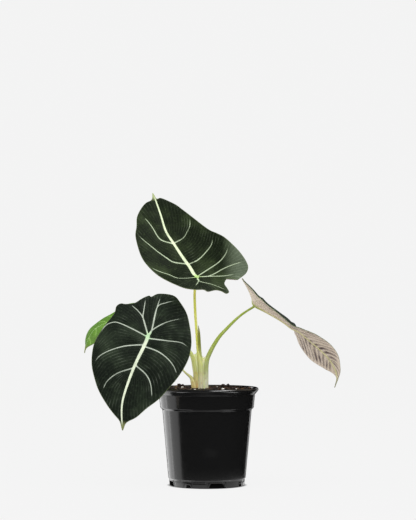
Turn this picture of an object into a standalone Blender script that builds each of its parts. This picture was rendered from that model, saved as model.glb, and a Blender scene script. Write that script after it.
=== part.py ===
"""Potted aroid with velvety, pale-veined leaves in a round black nursery pot.

Run with: blender --background --python part.py

Lengths below are in millimetres and become metres when a mesh is made. The origin is on the
ground under the middle of the pot, +Z is up and -Y is the front.

The leaves are laid out on a front elevation: a drawing on the plane y = 0, sighted from EYE.
A point of the drawing that lies in front of that plane or behind it stays on its line of
sight, which the function sighted works out.
"""

import math

import bmesh
import bpy
import numpy as np
from mathutils import Matrix

MM = 0.001
GAP = 0.3
EYE = (1.0, -1800.0, 190.0)

# Nursery pot: 105 mm across the lip, as a 4 inch pot measures.
LIP_RADIUS = 52.6
POT_HEIGHT = 99.4
COLLAR_TOP = (48.9, 92.6)
COLLAR_FOOT = (47.6, 78.0)
BODY_TOP_RADIUS = 45.5
LEDGE = (39.3, 7.6)
FOOT_RADIUS = 37.7
WALL = 1.4
FLOOR_UNDERSIDE = 3.0
FLOOR_TOP = 4.5
PAD_RADIUS = 9.0
FOOT_RING_WIDTH = 4.2
POT_SEGMENTS = 48

# Drain notches round the foot, by their angle from the front towards +X.
NOTCH_COUNT = 4
WIDE_NOTCH = {"angle": 16.0, "foot_width": 19.0, "top_width": 14.0, "height": 5.4}
SMALL_NOTCH = {"angle": -29.0, "foot_width": 6.5, "top_width": 3.5, "height": 3.4}

# Soil, whose top falls evenly from the middle to the wall.
SOIL_CENTRE_HEIGHT = 98.4
SOIL_EDGE_HEIGHT = 97.4
SOIL_SEGMENTS = 40

# The sheathed column of petiole bases and the rhizome below it.
COLUMN_X = -7.1
COLUMN_HOLE_RADIUS = 9.7
RHIZOME_TOP = 90.0

BLADE_THICKNESS = 1.2
BLADE_CELLS = 14
EDGE_PLACES = 400
CURVE_PLACES = 121

GUIDE_GREY = (0.1, 0.1, 0.1)
LEAF_DARK = (0.018, 0.035, 0.018)
STALK_GREEN = (0.42, 0.50, 0.10)
ROOT_BROWN = (0.25, 0.16, 0.09)
SOIL_BROWN = (0.045, 0.024, 0.013)
BARK_BROWN = (0.07, 0.032, 0.018)
PERLITE_WHITE = (0.80, 0.78, 0.74)


def clear_scene():
    for obj in list(bpy.data.objects):
        bpy.data.objects.remove(obj, do_unlink=True)


def material(name, colour, roughness):
    made = bpy.data.materials.new(name)
    made.use_nodes = True
    shader = made.node_tree.nodes["Principled BSDF"]
    shader.inputs["Base Color"].default_value = (*colour, 1.0)
    shader.inputs["Roughness"].default_value = roughness
    shader.inputs["Metallic"].default_value = 0.0
    return made


def object_from(name, points, faces, colour, roughness, smooth=True):
    """A mesh object of points in millimetres, with its faces turned outwards."""
    mesh = bpy.data.meshes.new(name)
    mesh.from_pydata((np.asarray(points, float) * MM).tolist(), [], faces)
    shell = bmesh.new()
    shell.from_mesh(mesh)
    bmesh.ops.recalc_face_normals(shell, faces=shell.faces)
    shell.to_mesh(mesh)
    shell.free()
    if smooth:
        mesh.shade_smooth()
    mesh.materials.append(material(name, colour, roughness))
    obj = bpy.data.objects.new(name, mesh)
    bpy.context.scene.collection.objects.link(obj)
    return obj


def hide_cutter(obj):
    obj.hide_render = True
    obj.display_type = "WIRE"
    return obj


def boolean(obj, other, operation):
    cut = obj.modifiers.new(f"{operation.lower()} {other.name}", "BOOLEAN")
    cut.operation = operation
    cut.solver = "EXACT"
    cut.object = other


def smooth_curve(points, count, closed=False):
    """A Catmull-Rom curve through the points, read at count places evenly along its length.

    On a closed curve the first place is the first point, and the last is not repeated.
    """
    points = np.asarray(points, float)
    if closed:
        before, after = points[[-1]], points[[0, 1]]
    else:
        before = 2 * points[[0]] - points[[1]]
        after = 2 * points[[-1]] - points[[-2]]
    chain = np.vstack([before, points, after])
    t = np.linspace(0, 1, 12, endpoint=False)[None, :, None]
    a, b, c, d = (chain[i : len(chain) - 3 + i, None, :] for i in range(4))
    runs = 0.5 * (
        2 * b + (c - a) * t + (2 * a - 5 * b + 4 * c - d) * t**2 + (3 * b - a - 3 * c + d) * t**3
    )
    fine = runs.reshape(-1, points.shape[1])
    fine = np.vstack([fine, points[0] if closed else points[-1]])
    steps = np.linalg.norm(np.diff(fine[:, :3], axis=0), axis=1)
    along = np.concatenate([[0], np.cumsum(steps)])
    places = np.linspace(0, along[-1], count, endpoint=not closed)
    return np.column_stack([np.interp(places, along, column) for column in fine.T])


def sighted(across, depth, up):
    """World points of a drawing's points that lie at the given depth behind it."""
    scale = 1 + depth / -EYE[1]
    x = EYE[0] + (across - EYE[0]) * scale
    z = EYE[2] + (up - EYE[2]) * scale
    return np.stack([x, depth + 0 * x, z], axis=-1)


def turned(name, profile, segments, colour, roughness):
    """A solid turned about Z from an outline of (radius, height) that starts and ends on Z."""
    radii, heights = np.array(profile[1:-1], float).T
    turn = np.linspace(0, 2 * np.pi, segments, endpoint=False)
    rings = np.stack(
        [
            radii[:, None] * np.cos(turn),
            radii[:, None] * np.sin(turn),
            heights[:, None] + 0 * turn,
        ],
        axis=-1,
    )
    points = rings.reshape(-1, 3).tolist()
    points += [[0, 0, profile[0][1]], [0, 0, profile[-1][1]]]
    start, end = len(points) - 2, len(points) - 1
    last = (len(radii) - 1) * segments
    faces = []
    for i in range(segments):
        j = (i + 1) % segments
        faces.append((start, i, j))
        faces.append((last + i, end, last + j))
        for ring in range(0, last, segments):
            faces.append((ring + i, ring + segments + i, ring + segments + j, ring + j))
    return object_from(name, points, faces, colour, roughness)


def outer_profile():
    """The pot's outside, from the foot up to the top of the lip."""
    return [
        (FOOT_RADIUS, 0.0),
        (LEDGE[0] - 1.0, LEDGE[1] - 1.0),
        LEDGE,
        (BODY_TOP_RADIUS, COLLAR_FOOT[1] - 1.2),
        (COLLAR_FOOT[0] - 0.5, COLLAR_FOOT[1] - 0.6),
        COLLAR_FOOT,
        COLLAR_TOP,
        (COLLAR_TOP[0] + 1.2, COLLAR_TOP[1] + 0.9),
        (LIP_RADIUS - 1.0, COLLAR_TOP[1] + 1.6),
        (LIP_RADIUS, COLLAR_TOP[1] + 3.2),
        (LIP_RADIUS - 0.6, POT_HEIGHT - 1.0),
        (LIP_RADIUS - 2.0, POT_HEIGHT),
    ]


def inner_profile():
    """The pot's inside, from the lip down to the floor's corner."""
    return [
        (LIP_RADIUS - 3.6, POT_HEIGHT - 0.3),
        (COLLAR_TOP[0] - WALL + 0.3, POT_HEIGHT - 2.6),
        (COLLAR_FOOT[0] - WALL, COLLAR_FOOT[1] + 1.0),
        (BODY_TOP_RADIUS - WALL, COLLAR_FOOT[1] - 2.0),
        (LEDGE[0] - WALL, LEDGE[1] + 1.0),
        (LEDGE[0] - WALL - 2.0, FLOOR_TOP),
    ]


def notch_cutter(name, notch, turn):
    """A wedge through the foot ring: a trapezium, wider at the ground, run out along a radius."""
    inner, outer, below = 28.0, FOOT_RADIUS + 6.0, -1.0
    half_foot, half_top = notch["foot_width"] / 2, notch["top_width"] / 2
    angle = math.radians(notch["angle"] + turn)
    outward = np.array([math.sin(angle), -math.cos(angle), 0.0])
    sideways = np.array([math.cos(angle), math.sin(angle), 0.0])
    points = []
    for radius in (inner, outer):
        for half, height in ((-half_foot, below), (half_foot, below)):
            points.append(outward * radius + sideways * half + [0, 0, height])
        for half in (half_top, -half_top):
            points.append(outward * radius + sideways * half + [0, 0, notch["height"]])
    faces = [(0, 1, 2, 3), (7, 6, 5, 4)]
    faces += [(i, 4 + i, 4 + (i + 1) % 4, (i + 1) % 4) for i in range(4)]
    return hide_cutter(object_from(name, points, faces, GUIDE_GREY, 0.5, smooth=False))


def nursery_pot():
    ring_inside = FOOT_RADIUS - FOOT_RING_WIDTH
    under = [
        (0.0, 0.0),
        (PAD_RADIUS, 0.0),
        (PAD_RADIUS + 1.5, FLOOR_UNDERSIDE),
        (ring_inside - 1.0, FLOOR_UNDERSIDE),
        (ring_inside, 0.0),
    ]
    profile = under + outer_profile() + inner_profile() + [(0.0, FLOOR_TOP)]
    pot = turned("nursery_pot", profile, POT_SEGMENTS, (0.012, 0.012, 0.013), 0.35)
    for step in range(NOTCH_COUNT):
        turn = step * 360 / NOTCH_COUNT
        for kind, notch in (("wide", WIDE_NOTCH), ("small", SMALL_NOTCH)):
            boolean(pot, notch_cutter(f"{kind}_notch_cutter_{step}", notch, turn), "DIFFERENCE")
    return pot


def loft(name, stations, rings, sides, colour, roughness=0.45):
    """A stem lofted through stations of (x, y, z, half width, half depth, squareness).

    Each section is a superellipse square to the stem: at squareness 0 an ellipse, and nearer
    1 a rounded box. Its width runs along the picture and its depth away from the viewer.
    """
    read = smooth_curve(stations, rings)
    centre, half_width, half_depth, squareness = read[:, :3], read[:, 3], read[:, 4], read[:, 5]
    tangent = np.gradient(centre, axis=0)
    tangent /= np.linalg.norm(tangent, axis=1, keepdims=True)
    wide = np.cross([0.0, 1.0, 0.0], tangent)
    wide /= np.linalg.norm(wide, axis=1, keepdims=True)
    deep = np.cross(tangent, wide)
    turn = np.linspace(0, 2 * np.pi, sides, endpoint=False)
    power = (1 - 0.5 * squareness)[:, None]
    across = np.sign(np.cos(turn)) * np.abs(np.cos(turn)) ** power * half_width[:, None]
    back = np.sign(np.sin(turn)) * np.abs(np.sin(turn)) ** power * half_depth[:, None]
    points = (
        centre[:, None, :]
        + across[:, :, None] * wide[:, None, :]
        + back[:, :, None] * deep[:, None, :]
    ).reshape(-1, 3)
    last = (rings - 1) * sides
    faces = [tuple(range(sides - 1, -1, -1)), tuple(range(last, last + sides))]
    for i in range(sides):
        j = (i + 1) % sides
        for ring in range(0, last, sides):
            faces.append((ring + i, ring + j, ring + sides + j, ring + sides + i))
    return object_from(name, points, faces, colour, roughness)


# Blades. Each outline starts at the tip and is drawn round the point where the petiole joins.
# On the two that face the front it is (across, up) as the elevation shows them, and on the two
# seen on edge it is (across the blade, from the joint towards the tip).

FRONT_JOINT = (-60.0, 151.5)
FRONT_OUTLINE = [
    (-26, -96.5), (-29, -87), (-35.5, -79), (-42.5, -69.5), (-50.5, -55.5), (-55, -42),
    (-57.5, -29.5), (-57, -16.5), (-54, -5), (-45.5, 9), (-35, 22.5), (-32.5, 30), (-28, 33),
    (-23, 32.5), (-14, 33.5), (-6.5, 38), (0.5, 41), (3.5, 40), (11, 43), (26, 41), (33.5, 33),
    (39.5, 22.5), (42.5, 10), (44, -1), (44, -10.5), (41.5, -22.5), (36.5, -33), (29.5, -43.5),
    (21, -53.5), (11, -64.5), (-1.5, -74), (-12, -83), (-22, -88.5),
]  # fmt: skip

TOP_JOINT = (-10.5, 211.5)
TOP_OUTLINE = [
    (-45, 86), (-46, 79), (-52, 75.5), (-57, 69.5), (-61, 61), (-61.5, 51.5), (-62.5, 41.5),
    (-59, 27), (-54.5, 17), (-47.5, 8.5), (-39.5, 1.5), (-31, -3.5), (-22.5, -7.5),
    (-12, -11.5), (-1, -13), (7, -13), (11.5, -15), (19, -13.5), (25, -14.5), (30, -17),
    (33, -15.5), (31.5, -12), (28.5, -7.5), (29, -4.5), (31.5, -1.5), (37.5, -1.5), (41, -3),
    (44.5, -1), (50.5, 4), (52.5, 10), (50.5, 16), (46, 23), (39.5, 30.5), (28.5, 40.5),
    (20, 45), (11.5, 49), (-5.5, 62), (-14, 68.5), (-22.5, 74.5), (-36, 80.5), (-41, 80),
]  # fmt: skip

RIGHT_MIDRIB = [
    (36.5, 207.5), (42, 198.5), (45.5, 190.5), (49, 183), (58, 178), (69.5, 171.5), (79.5, 165),
    (86.5, 159.5), (94, 156), (100, 151), (106, 146), (113, 140), (120.5, 133), (126.5, 126),
    (130.5, 118.5), (132.5, 112.5), (132.5, 107), (129.5, 97.5),
]  # fmt: skip
RIGHT_JOINT_STATION = 3
RIGHT_OUTLINE = [
    (0, 126), (4, 116), (11, 108), (21, 99), (31, 88), (39, 76), (46, 60), (50, 40), (51, 20),
    (48, 2), (42, -14), (30, -26), (16, -28), (4, -23), (-5, -24), (-17, -28), (-31, -26),
    (-43, -14), (-49, 3), (-52, 21), (-51, 41), (-46, 61), (-38, 77), (-30, 89), (-20, 100),
    (-10, 109), (-3.5, 116),
]  # fmt: skip

LEFT_MIDRIB = [
    (-55, 176), (-68, 173.5), (-80.5, 169.5), (-93, 166.5), (-103.5, 164), (-111, 160.5),
    (-117, 155), (-121, 147.5), (-124, 139), (-125, 131.5),
]  # fmt: skip
LEFT_JOINT_STATION = 2
LEFT_OUTLINE = [
    (0, 63), (3.5, 56), (10, 50), (17, 40), (23, 27), (27, 10), (26, -6), (19, -18), (9, -23),
    (1, -20), (-8, -23), (-19, -18), (-26, -6), (-27, 10), (-23, 27), (-18, 40), (-12, 50),
    (-4, 57),
]  # fmt: skip


def across_midrib(across, up, tip):
    """Signed distance of a drawn point from the straight line through the joint and the tip."""
    length = math.hypot(*tip)
    return (across * tip[1] - up * tip[0]) / length


def front_pose(across, up):
    """The blade hangs over the rim: its lobes lean back, its tip and its margins curl back."""
    off = across_midrib(across, up, FRONT_OUTLINE[0])
    lean = -30 + 0.36 * up + 0.0015 * np.minimum(up, 0) ** 2 + 0.004 * np.maximum(up, 0) ** 2
    channel = -0.12 * np.sqrt(off**2 + 16)
    roll = 0.0026 * off**2
    return sighted(FRONT_JOINT[0] + across, lean + channel + roll, FRONT_JOINT[1] + up)


def top_pose(across, up):
    """The blade rises behind its joint and sweeps forward below it, like a ramp with a dished foot."""
    off = across_midrib(across, up, TOP_OUTLINE[0])
    forward_slope = 0.9 + 2.2 * np.exp(-(((across + 8) / 22) ** 2))
    bend_height, bend_width = 2.0, 3.0
    below = bend_width * np.log1p(np.exp(-(up - bend_height) / bend_width))
    depth = 16 + 0.5 * up - forward_slope * below
    dish = -0.0045 * off**2 - 0.06 * np.sqrt(off**2 + 16)
    return sighted(TOP_JOINT[0] + across, depth + dish, TOP_JOINT[1] + up)


def ribbon_pose(midrib, joint_station, depth, near_rise, far_rise):
    """A pose for a blade seen on edge, from its midrib as drawn and the rise of its halves.

    The rises give, in degrees and by distance from the joint, how far the near half and the
    far half climb from the line of sight, towards the upper side of the midrib.
    """
    line = smooth_curve(midrib, CURVE_PLACES)
    near_curve = smooth_curve(near_rise, CURVE_PLACES)
    far_curve = smooth_curve(far_rise, CURVE_PLACES)
    steps = np.linalg.norm(np.diff(line, axis=0), axis=1)
    along = np.concatenate([[0], np.cumsum(steps)])
    joint = np.asarray(midrib[joint_station], float)
    along -= along[np.argmin(np.linalg.norm(line - joint, axis=1))]
    slope = np.gradient(line, axis=0)
    slope /= np.linalg.norm(slope, axis=1, keepdims=True)
    upward = np.column_stack([-slope[:, 1], slope[:, 0]])
    upward *= np.sign(upward[:, 1].sum())

    def pose(across, towards_tip):
        rise = np.where(
            across < 0,
            np.interp(towards_tip, *near_curve.T),
            np.interp(towards_tip, *far_curve.T),
        )
        rise = np.radians(rise)
        lift = np.abs(across) * np.sin(rise)
        x = np.interp(towards_tip, along, line[:, 0])
        x = x + lift * np.interp(towards_tip, along, upward[:, 0])
        z = np.interp(towards_tip, along, line[:, 1])
        z = z + lift * np.interp(towards_tip, along, upward[:, 1])
        return sighted(x, depth + across * np.cos(rise), z)

    return pose


right_pose = ribbon_pose(
    RIGHT_MIDRIB,
    RIGHT_JOINT_STATION,
    depth=0.0,
    near_rise=[
        (-27, 1), (-17, 5), (0, 10), (11, 6.5), (23, 4.5), (38, 3), (52, 4), (60, 7), (68, 11),
        (78, 14.5), (88, 17.5), (97, 21), (105, 27), (112, 35), (118, 40),
    ],
    far_rise=[
        (-27, 1), (-17, 7), (0, 12), (11, 9), (23, 8), (40, 7), (48, 4.5), (54, -7), (60, -11.5),
        (68, -15), (78, -19.5), (88, -24.5), (97, -31), (105, -37), (112, -32), (118, -15),
    ],
)  # fmt: skip
left_pose = ribbon_pose(
    LEFT_MIDRIB,
    LEFT_JOINT_STATION,
    depth=22.0,
    near_rise=[(-20, -28), (36, -25), (48, -42), (60, -45)],
    far_rise=[(-20, 36), (0, 33), (12, 22), (24, 15), (32, 12), (40, 15), (47, 18), (56, 18)],
)


def disk_grid(cells):
    """A square grid laid over a disk: each node's share of the radius, and its turn from 0 to 1."""
    line = np.linspace(-1, 1, cells + 1)
    a, b = np.meshgrid(line, line, indexing="ij")
    share = np.maximum(np.abs(a), np.abs(b))
    wide = np.abs(a) >= np.abs(b)
    safe_a, safe_b = np.where(a == 0, 1, a), np.where(b == 0, 1, b)
    angle = np.where(wide, b / safe_a / 8, 0.25 - a / safe_b / 8)
    angle = angle + np.where(np.where(wide, a, b) < 0, 0.5, 0)
    return share, angle % 1.0


def blade(name, outline, pose, colour):
    """A leaf blade: a disk grid stretched to the outline, posed, and given its thickness."""
    share, turn = disk_grid(BLADE_CELLS)
    edge = smooth_curve(outline, EDGE_PLACES, closed=True)
    edge = np.vstack([edge, edge[:1]])
    places = np.linspace(0, 1, len(edge))
    across = share * np.interp(turn, places, edge[:, 0])
    along = share * np.interp(turn, places, edge[:, 1])
    points = pose(across, along).reshape(-1, 3)
    side = BLADE_CELLS + 1
    faces = [
        (i * side + j, (i + 1) * side + j, (i + 1) * side + j + 1, i * side + j + 1)
        for i in range(BLADE_CELLS)
        for j in range(BLADE_CELLS)
    ]
    made = object_from(name, points, faces, colour, 0.6)
    skin = made.modifiers.new("thickness", "SOLIDIFY")
    skin.thickness = BLADE_THICKNESS * MM
    skin.offset = 0.0
    return made


def petiole_seat(pose, top_side):
    """Where a petiole ends, GAP below the blade's underside at the joint, and the way it arrives."""
    small = 0.5
    joint = pose(np.array(0.0), np.array(0.0))
    along_a = pose(np.array(small), np.array(0.0)) - pose(np.array(-small), np.array(0.0))
    along_b = pose(np.array(0.0), np.array(small)) - pose(np.array(0.0), np.array(-small))
    normal = np.cross(along_a, along_b)
    normal /= np.linalg.norm(normal)
    if normal @ np.asarray(top_side) < 0:
        normal = -normal
    return joint - normal * (BLADE_THICKNESS / 2 + GAP), normal


def petiole(name, stations, pose, top_side, tip_radius, colour):
    """A petiole through its stations, whose last stretch meets the blade square on."""
    seat, normal = petiole_seat(pose, top_side)
    lead = seat - normal * 4.5
    stations = stations + [
        (*lead, tip_radius, tip_radius, 0.0),
        (*seat, tip_radius, tip_radius, 0.0),
    ]
    return loft(name, stations, rings=22, sides=10, colour=colour)


STEM_FOOT = RHIZOME_TOP + GAP

PETIOLE_TOP_STATIONS = [
    (-5.9, 0.0, STEM_FOOT, 2.1, 7.4, 0.6),
    (-6.2, 0.0, 108, 2.5, 6.6, 0.5),
    (-6.8, 0.0, 121, 2.6, 5.0, 0.3),
    (-8.2, 0.4, 132, 2.2, 3.2, 0.1),
    (-9.6, 0.9, 141, 1.5, 1.8, 0.0),
    (-10.2, 1.8, 149, 1.4, 1.5, 0.0),
    (-11.0, 3.8, 160, 1.35, 1.4, 0.0),
    (-11.9, 6.6, 172, 1.35, 1.35, 0.0),
    (-12.6, 9.2, 185, 1.35, 1.35, 0.0),
    (-12.6, 11.2, 198, 1.3, 1.3, 0.0),
]
PETIOLE_RIGHT_STATIONS = [
    (-1.1, 0.0, STEM_FOOT, 2.2, 5.4, 0.5),
    (-1.1, 0.0, 108, 2.4, 5.0, 0.4),
    (-1.0, 0.0, 121, 2.4, 4.0, 0.2),
    (0.4, 0.0, 128.5, 2.3, 3.0, 0.0),
    (3.2, 0.0, 135, 2.2, 2.4, 0.0),
    (7.2, 0.0, 142.5, 2.0, 2.1, 0.0),
    (12.8, 0.0, 151, 1.8, 1.8, 0.0),
    (20.0, 0.0, 158.8, 1.6, 1.6, 0.0),
    (27.5, 0.0, 166.3, 1.45, 1.45, 0.0),
    (34.8, 0.0, 173, 1.35, 1.35, 0.0),
    (39.5, 0.0, 176.8, 1.3, 1.3, 0.0),
]
PETIOLE_FRONT_STATIONS = [
    (-10.3, 0.0, STEM_FOOT, 1.9, 7.0, 0.5),
    (-11.3, 0.0, 108, 2.2, 6.0, 0.4),
    (-12.8, 0.0, 120, 2.3, 4.4, 0.3),
    (-14.6, 0.0, 129.5, 2.2, 3.0, 0.1),
    (-19.0, 0.0, 136.5, 1.9, 2.2, 0.0),
    (-29.0, 0.5, 142.5, 1.7, 1.7, 0.0),
    (-42.0, 0.0, 147.5, 1.5, 1.5, 0.0),
    (-53.0, -5.0, 149.5, 1.4, 1.4, 0.0),
]
PETIOLE_LEFT_STATIONS = [
    (-14.2, 0.0, STEM_FOOT, 1.4, 3.6, 0.3),
    (-15.0, 0.0, 99, 1.6, 3.8, 0.3),
    (-16.2, 0.3, 105, 1.9, 3.2, 0.1),
    (-18.3, 0.8, 109.8, 1.8, 2.2, 0.0),
    (-22.6, 1.8, 115.4, 1.1, 1.3, 0.0),
    (-30.0, 4.2, 124.0, 1.1, 1.1, 0.0),
    (-44.0, 9.5, 138.5, 1.1, 1.1, 0.0),
    (-62.0, 17.0, 153.0, 1.05, 1.05, 0.0),
]
NEW_LEAF_STATIONS = [
    (-3.9, -1.0, 127.5, 0.7, 0.9, 0.0),
    (-5.4, -1.2, 136.5, 0.9, 0.9, 0.0),
    (-7.0, -1.3, 145, 1.0, 1.0, 0.0),
    (-7.5, -1.1, 151, 1.0, 1.0, 0.0),
    (-7.9, -0.7, 157, 0.7, 0.7, 0.0),
    (-8.7, 0.0, 162, 0.25, 0.25, 0.0),
]


def rhizome_parts(prefix, extra):
    """The rhizome and its roots as separate lofts, each extra millimetres fatter than life."""
    body = [
        (COLUMN_X, 0.0, RHIZOME_TOP + extra, 7.6 + extra, 7.6 + extra, 0.0),
        (COLUMN_X, 0.0, 84, 8.0 + extra, 8.0 + extra, 0.0),
        (COLUMN_X + 0.5, 0.5, 70, 6.6 + extra, 6.6 + extra, 0.0),
        (COLUMN_X + 1.0, 0.5, 60 - extra, 3.6 + extra, 3.6 + extra, 0.0),
    ]
    made = [loft(f"{prefix}rhizome", body, 8, 12, ROOT_BROWN)]
    root_count = 5
    for index in range(root_count):
        angle = math.radians(25 + index * 360 / root_count)
        reach = np.array([math.cos(angle), math.sin(angle)])
        top = 82 - 3.5 * index
        stations = []
        for out, drop, radius in ((3, 0, 1.7), (12, 3, 1.6), (22, 14, 1.3), (26, 34 + extra, 0.9)):
            x, y = np.array([COLUMN_X, 0.0]) + reach * out
            stations.append((x, y, top - drop, radius + extra, radius + extra, 0.0))
        made.append(loft(f"{prefix}root_{index}", stations, 9, 7, ROOT_BROWN))
    return made


def rhizome_roots():
    rhizome, *roots = rhizome_parts("", 0.0)
    rhizome.name = "rhizome_roots"
    for root in roots:
        boolean(rhizome, hide_cutter(root), "UNION")
    return rhizome


def soil_height(radius):
    return SOIL_CENTRE_HEIGHT + (SOIL_EDGE_HEIGHT - SOIL_CENTRE_HEIGHT) * radius / COLLAR_TOP[0]


def potting_soil():
    """Soil that fills the pot, with the hole that the stems, the rhizome and its roots fill."""
    corner, *walls = [(radius - GAP, height) for radius, height in inner_profile()[::-1]]
    walls = [point for point in walls if point[1] < SOIL_EDGE_HEIGHT - 1.0]
    rim = COLLAR_TOP[0] - WALL - GAP
    profile = [(0.0, FLOOR_TOP + GAP), (corner[0] - 0.3, FLOOR_TOP + GAP)]
    profile += walls + [(rim, soil_height(rim)), (0.0, SOIL_CENTRE_HEIGHT)]
    soil = turned("potting_soil", profile, SOIL_SEGMENTS, SOIL_BROWN, 0.9)
    hole = [
        (0.0, RHIZOME_TOP - 1.0),
        (COLUMN_HOLE_RADIUS, RHIZOME_TOP - 1.0),
        (COLUMN_HOLE_RADIUS, POT_HEIGHT + 5),
        (0.0, POT_HEIGHT + 5),
    ]
    column = hide_cutter(turned("column_hole", hole, 24, GUIDE_GREY, 0.5))
    column.location.x = COLUMN_X * MM
    boolean(soil, column, "DIFFERENCE")
    for cutter in rhizome_parts("hole_", GAP):
        boolean(soil, hide_cutter(cutter), "DIFFERENCE")
    return soil


def crumb(name, place, size, colour, roughness, seed):
    """A rough grain that rests on the soil, GAP above it, at place (x, y)."""
    draw = np.random.default_rng(seed)
    shell = bmesh.new()
    bmesh.ops.create_icosphere(shell, subdivisions=2, radius=1.0)
    ways = np.array([vertex.co[:] for vertex in shell.verts])
    cut_count = 7
    cuts = draw.normal(size=(cut_count, 3))
    cuts /= np.linalg.norm(cuts, axis=1, keepdims=True)
    depth = draw.uniform(0.62, 0.85, cut_count)
    reach = np.min(depth / np.maximum(ways @ cuts.T, 0.3), axis=1)
    points = ways * np.minimum(reach, 1)[:, None] * np.asarray(size) / 2
    for vertex, point in zip(shell.verts, points):
        vertex.co = point * MM
    bmesh.ops.rotate(
        shell,
        verts=shell.verts,
        cent=(0, 0, 0),
        matrix=Matrix.Rotation(draw.uniform(0, 2 * math.pi), 3, "Z"),
    )
    lowest = min(vertex.co.z for vertex in shell.verts) / MM
    highest_soil = soil_height(max(math.hypot(*place) - max(size) / 2, 0))
    mesh = bpy.data.meshes.new(name)
    shell.to_mesh(mesh)
    shell.free()
    mesh.materials.append(material(name, colour, roughness))
    obj = bpy.data.objects.new(name, mesh)
    obj.location = (place[0] * MM, place[1] * MM, (highest_soil + GAP - lowest) * MM)
    bpy.context.scene.collection.objects.link(obj)
    return obj


# Loose pieces on the soil: place (x, y) and size (length, width, height).
BARK_CHIPS = [
    ((-29.0, 22.0), (6.0, 5.0, 4.6)),
    ((-25.0, 15.0), (5.0, 4.4, 4.2)),
    ((-19.0, -14.0), (6.5, 4.5, 3.0)),
    ((16.6, 20.0), (6.0, 5.0, 5.0)),
    ((21.5, 26.0), (4.4, 4.0, 4.2)),
    ((27.0, -10.0), (7.5, 5.0, 3.0)),
    ((7.0, -24.0), (6.0, 4.0, 2.8)),
    ((-3.0, 30.0), (7.0, 5.0, 3.4)),
    ((-35.0, -8.0), (6.0, 4.6, 3.0)),
    ((34.0, 12.0), (5.5, 4.5, 3.0)),
]
PERLITE_GRAINS = [
    ((-25.0, -4.0), (3.2, 3.0, 2.6)),
    ((16.0, -33.0), (3.4, 3.0, 2.8)),
    ((10.0, 8.0), (2.8, 2.6, 2.2)),
    ((-13.0, 33.0), (3.0, 2.8, 2.4)),
    ((30.0, -25.0), (2.8, 2.4, 2.2)),
    ((-12.0, -36.0), (2.6, 2.4, 2.0)),
]


def main():
    clear_scene()
    nursery_pot()
    potting_soil()
    rhizome_roots()
    blade("blade_top", TOP_OUTLINE, top_pose, LEAF_DARK)
    blade("blade_front", FRONT_OUTLINE, front_pose, LEAF_DARK)
    blade("blade_right", RIGHT_OUTLINE, right_pose, (0.30, 0.21, 0.19))
    blade("blade_left", LEFT_OUTLINE, left_pose, (0.10, 0.25, 0.06))
    petiole("petiole_top", PETIOLE_TOP_STATIONS, top_pose, (0, -1, 1), 1.3, STALK_GREEN)
    petiole("petiole_right", PETIOLE_RIGHT_STATIONS, right_pose, (0, 0, 1), 1.3, STALK_GREEN)
    petiole("petiole_front", PETIOLE_FRONT_STATIONS, front_pose, (0, -1, 1), 1.4, STALK_GREEN)
    petiole("petiole_left", PETIOLE_LEFT_STATIONS, left_pose, (0, 0, 1), 1.0, (0.50, 0.42, 0.18))
    loft("new_leaf_spear", NEW_LEAF_STATIONS, 8, 8, (0.14, 0.14, 0.03))
    for index, (place, size) in enumerate(BARK_CHIPS, 1):
        crumb(f"bark_chip_{index}", place, size, BARK_BROWN, 0.85, index)
    for index, (place, size) in enumerate(PERLITE_GRAINS, 1):
        crumb(f"perlite_grain_{index}", place, size, PERLITE_WHITE, 0.9, 100 + index)


main()
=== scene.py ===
# %% [markdown]
# # A velvet-leaved aroid in its nursery pot
# The plant stands in a black nursery pot, 105 mm across its lip. Four heart-shaped leaves rise
# on slender stalks. Three are near-black and velvety with pale veins, and one is still young
# and green. This lesson makes each piece as a surface worked out with numpy, gives it a
# finish made of shader nodes, and lights the whole in a plain pale studio.
#
# The plain solids of the frame say where everything is. They come first, because each finer
# piece stands in the place of one of them.

# %% Load the frame
import math

import bpy
import numpy as np
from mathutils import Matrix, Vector


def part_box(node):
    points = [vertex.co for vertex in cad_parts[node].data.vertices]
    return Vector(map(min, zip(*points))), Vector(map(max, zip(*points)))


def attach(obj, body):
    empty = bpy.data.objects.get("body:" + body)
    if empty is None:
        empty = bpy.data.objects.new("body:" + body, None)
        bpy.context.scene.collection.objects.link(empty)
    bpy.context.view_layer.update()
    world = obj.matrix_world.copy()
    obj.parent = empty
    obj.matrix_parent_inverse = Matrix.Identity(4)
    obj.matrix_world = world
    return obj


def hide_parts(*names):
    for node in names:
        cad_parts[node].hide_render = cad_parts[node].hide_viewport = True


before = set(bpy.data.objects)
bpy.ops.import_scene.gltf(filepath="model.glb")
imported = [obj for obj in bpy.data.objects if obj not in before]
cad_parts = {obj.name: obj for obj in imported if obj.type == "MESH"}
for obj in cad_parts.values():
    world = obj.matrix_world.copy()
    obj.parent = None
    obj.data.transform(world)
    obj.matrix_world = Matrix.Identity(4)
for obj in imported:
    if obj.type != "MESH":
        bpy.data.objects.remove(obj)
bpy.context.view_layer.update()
print("frame nodes:", len(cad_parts))

# %% [markdown]
# ## Units, curves and meshes
# The numbers of a small plant are easiest to read in millimetres, so its shapes are worked out
# in millimetres and turned into metres as each mesh is made. Finishes and the studio use metres.
#
# A smooth curve through a few chosen points gives outlines, veins and stalks. A Catmull-Rom
# curve is used because it passes through every point, so a measured point stays where it was
# measured.

# %% Curves
MM = 0.001
PLACES_BETWEEN = 12
MEMORY_PARTS = 40
EYE = (1.0, -1800.0, 190.0)
AIM = (1.0, 0.0, 228.8)


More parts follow.
